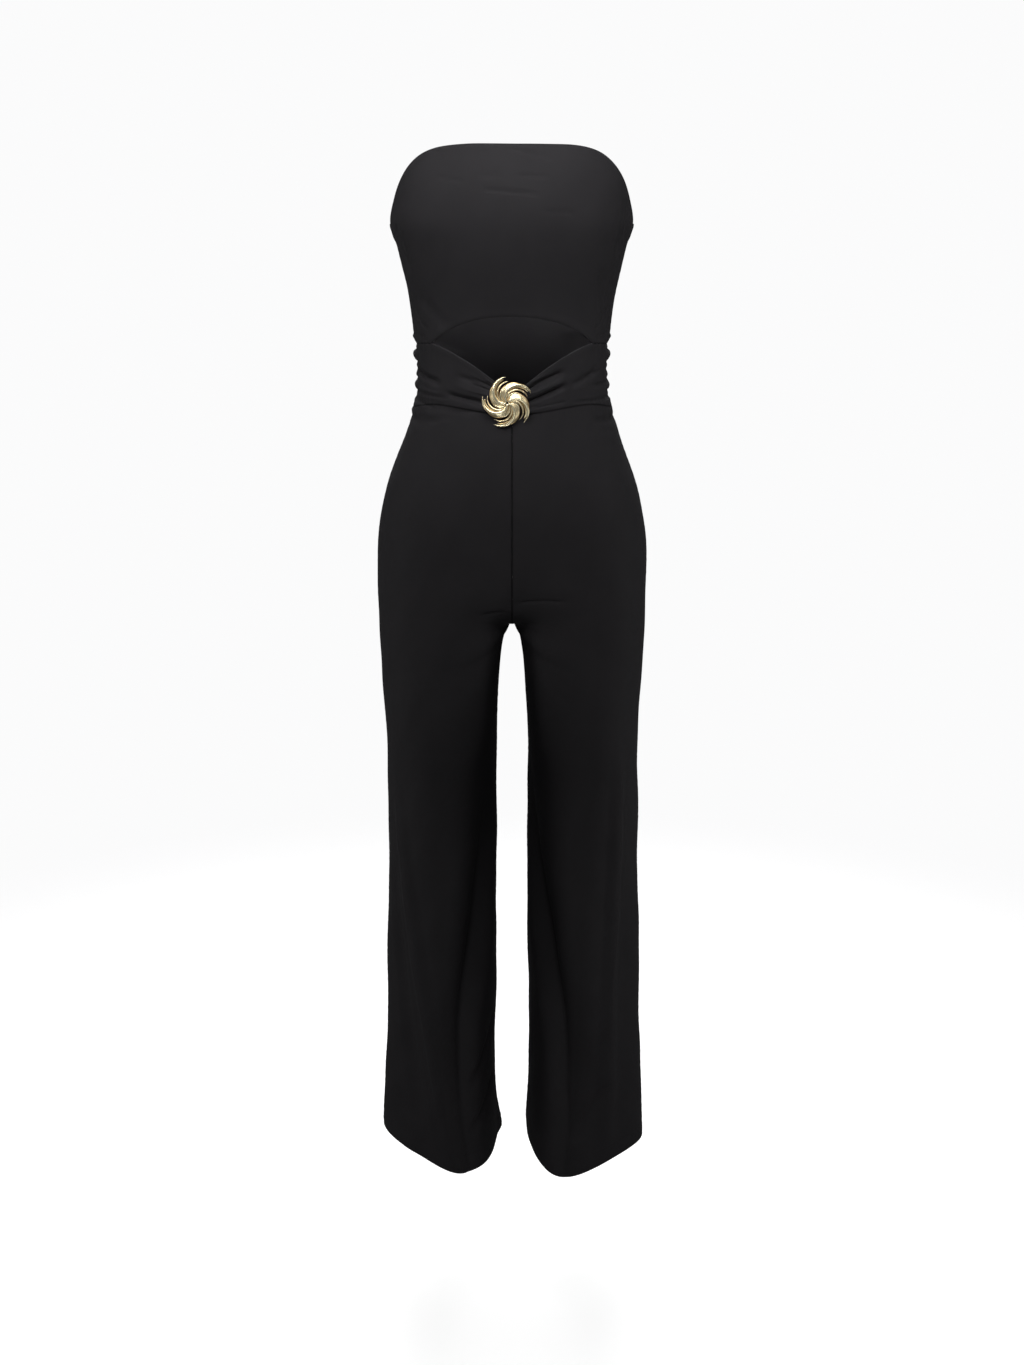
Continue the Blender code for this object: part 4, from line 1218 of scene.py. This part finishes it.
def makeBrooch():
    steps = brooch["steps"]
    around = brooch["around"]
    index = np.arange(steps * around).reshape(steps, around)
    turned = np.roll(index, -1, axis=1)
    quads = np.stack([index[:-1], turned[:-1], turned[1:], index[1:]], axis=-1).reshape(-1, 4)
    points = []
    faces = []
    recess = []
    for leaf in range(brooch["leafCount"]):
        leafAngle = brooch["firstLeaf"] - leaf * 2 * math.pi / brooch["leafCount"]
        for number, barb in enumerate(barbs):
            grid, deep = barbGrid(leafAngle, barb)
            start = len(points) * steps * around
            points.append(grid.reshape(-1, 3))
            # every other barb is painted darker, as painted shade and painted reflection, for bright
            # and dark lines across each leaf
            recess.append(np.clip(deep + brooch["alternateBarbShade"] * (number % 2), 0, 1).ravel())
            faces += (start + quads).tolist()
            faces += [(start + index[0, ::-1]).tolist(), (start + index[-1]).tolist()]
    piece = newPiece("broochLeaves", toFront(np.concatenate(points)), faces, paleGold)
    paintShare(piece, "recess", np.concatenate(recess))
    dress(piece, "brooch")


def makeBroochPlate():
    # turned plate with its seat, edges eased
    rounding = brooch["rounding"]
    front = brooch["plateFront"] + 2 * rounding
    back = brooch["plateBack"]
    boss = brooch["bossRadius"]
    plate = brooch["plateRadius"]
    outline = [
        (boss - rounding, 0.0),
        (boss, rounding),
        (boss, back),
        (plate - rounding, back),
        (plate, back + rounding),
        (plate, front - rounding),
        (plate - rounding, front),
    ]
    turns = np.linspace(0, 2 * math.pi, 64, endpoint=False)
    circle = np.stack([np.cos(turns), np.sin(turns), 0 * turns], axis=-1)
    rings = [circle * radius + [0, 0, level] for radius, level in outline]
    points = np.concatenate([[[0, 0, 0]], *rings, [[0, 0, front]]])
    index = 1 + np.arange(len(points) - 2).reshape(len(outline), -1)
    after = np.roll(index, -1, axis=1)
    quads = np.stack([index[:-1], after[:-1], after[1:], index[1:]], axis=-1)
    faces = quads.reshape(-1, 4).tolist()
    faces += [[0, b, a] for a, b in zip(index[0].tolist(), after[0].tolist())]
    faces += [[len(points) - 1, a, b] for a, b in zip(index[-1].tolist(), after[-1].tolist())]
    piece = newPiece("broochPlate", toFront(points), faces, paleGold)
    # the whole plate is painted dark as painted shade under the leaves
    paintShare(piece, "recess", np.full(len(points), 0.9))
    piece.data.set_sharp_from_angle(angle=math.radians(40))
    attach(piece, "root")


makeBrooch()
makeBroochPlate()
print("stage: brooch")


# studio: a pale floor that fades into the pale surroundings, the camera and soft lamps, each with
# its place, what it points at, its size, its power in watts and its spread in degrees
Lamp = namedtuple("Lamp", "name place target width height power spread", defaults=(180,))
studio = {
    "floorLevel": -1.25,
    "floorRadius": 1.9,
    "floorFade": 0.75,
    "floorPale": (0.84, 0.84, 0.84, 1),
    "floorPaler": (0.87, 0.87, 0.87, 1),
    "floorGlow": 0.72,
    "cameraDistance": 2.08,
    "cameraHeight": 0.206,
    "cameraDown": 16.2,
    "lens": 43.96,
    "sensor": 36.0,
    "shown": (0.965, 0.965, 0.968, 1),
    "frontFill": 0.045,
    "backFill": 0.09,
    "aboveFill": 0.07,
    "lamps": [
        Lamp("keyClose", (-0.03, -0.77, 0.68), (0.0, 0.0, 0.5), 0.95, 0.4, 6.45, 120),
        Lamp("sideLeft", (1.5, -0.25, 1.05), (0.0, 0.0, 0.2), 0.5, 0.9, 4.3),
        Lamp("sideRight", (-1.5, -0.25, 1.05), (0.0, 0.0, 0.2), 0.5, 0.9, 5.6),
        Lamp("lowLeft", (1.3, -0.05, -0.6), (0.0, 0.0, -0.8), 0.5, 0.9, 3.2),
        Lamp("lowRight", (-1.3, -0.05, -0.6), (0.0, 0.0, -0.8), 0.5, 0.9, 2.6),
        Lamp("frontLow", (0.0, -2.4, -0.9), (0.0, 0.0, -0.75), 1.0, 0.6, 2.2),
        Lamp("hemLow", (0.0, -1.1, -1.15), (0.0, 0.0, -0.95), 0.3, 0.3, 2.0),
        Lamp("overhead", (0.0, 0.3, 2.5), (0.0, 0.3, -1.25), 2.0, 2.0, 15.0),
        Lamp("broochGlint", (-0.35, -0.75, 0.30), (-0.0055, -0.10, -0.026), 0.1, 0.1, 0.0068, 16),
        Lamp("inside", (0.0, -0.02, 0.225), (0.0, 0.085, -0.02), 0.12, 0.06, 0.5),
        Lamp("backAbove", (0.0, 2.1, 1.6), (0.0, 0.0, -0.4), 2.0, 1.2, 45.0),
    ],
}


# the setting of ramps that fade softly
softRamp = {"interpolation_type": "SMOOTHSTEP"}


def makeFloor():
    sockets = {"Specular IOR Level": 0.2, "Emission Strength": studio["floorGlow"]}
    material, shader, start = newFinish("paleFloor", sockets)
    place = start.node("TexCoord", output=3)
    away = place.node("VectorMath", {"operation": "LENGTH"}, {0: place}, 1)
    cloud = start.node("TexNoise", values={"Vector": place, "Scale": 1.3, "Detail": 2.0})
    pale = cloud.mix(studio["floorPale"], studio["floorPaler"])
    pale.into(shader, "Base Color")
    pale.into(shader, "Emission Color")
    (0.75 + cloud * 0.1).into(shader, "Roughness")
    radius = studio["floorRadius"]
    fading = {0: away, 1: studio["floorFade"], 2: radius * 0.97, 3: 1.0, 4: 0.0}
    away.node("MapRange", softRamp, fading).into(shader, "Alpha")
    turns = np.linspace(0, 2 * math.pi, 96, endpoint=False)
    points = radius * np.stack([np.cos(turns), np.sin(turns), 0 * turns], axis=-1)
    floor = newPiece("floor", points, [list(range(len(points)))], material)
    floor.location = (0, 0, studio["floorLevel"])
    floor.visible_diffuse = False
    floor.visible_glossy = False


def makeSurroundings():
    # the camera sees a plain pale ground, and the cloth and the gold a darker room in front
    world = bpy.data.worlds.new("studio")
    bpy.context.scene.world = world
    world.use_nodes = True
    tree = world.node_tree
    start = Wire(tree)
    way = start.node("TexCoord", output=0)
    split = way.node("SeparateXYZ", values={0: way})
    forward = Wire(tree, split.socket.node.outputs[1])
    upward = Wire(tree, split.socket.node.outputs[2])
    behind = forward.node("MapRange", softRamp, {0: forward, 1: -0.5, 2: 0.6})
    above = upward.node("MapRange", softRamp, {0: upward, 1: 0.0, 2: 1.0})
    level = studio["frontFill"] + behind * (studio["backFill"] - studio["frontFill"])
    level = level + above * studio["aboveFill"]
    lit = level.node("CombineXYZ", values={0: level, 1: level, 2: level})
    seen = start.node("LightPath", output=0)
    sky = tree.nodes["Background"]
    seen.mix(lit, studio["shown"]).into(sky, "Color")


def makeLamps():
    for lamp in studio["lamps"]:
        data = bpy.data.lights.new(lamp.name, "AREA")
        data.shape = "RECTANGLE"
        data.size = lamp.width
        data.size_y = lamp.height
        data.energy = lamp.power
        data.spread = math.radians(lamp.spread)
        light = bpy.data.objects.new(lamp.name, data)
        light.location = lamp.place
        aim = Vector(lamp.target) - Vector(lamp.place)
        light.rotation_euler = aim.to_track_quat("-Z", "Y").to_euler()
        light.visible_camera = False
        bpy.context.scene.collection.objects.link(light)


def makeCamera():
    view = bpy.data.cameras.new("camera")
    view.sensor_fit = "VERTICAL"
    view.sensor_height = studio["sensor"]
    view.lens = studio["lens"]
    camera = bpy.data.objects.new("camera", view)
    camera.location = (0, -studio["cameraDistance"], studio["cameraHeight"])
    camera.rotation_euler = (math.radians(90 - studio["cameraDown"]), 0, 0)
    bpy.context.scene.collection.objects.link(camera)
    bpy.context.scene.camera = camera
    bpy.context.scene.view_settings.view_transform = "Standard"


makeFloor()
makeSurroundings()
makeLamps()
makeCamera()
print("stage: studio")
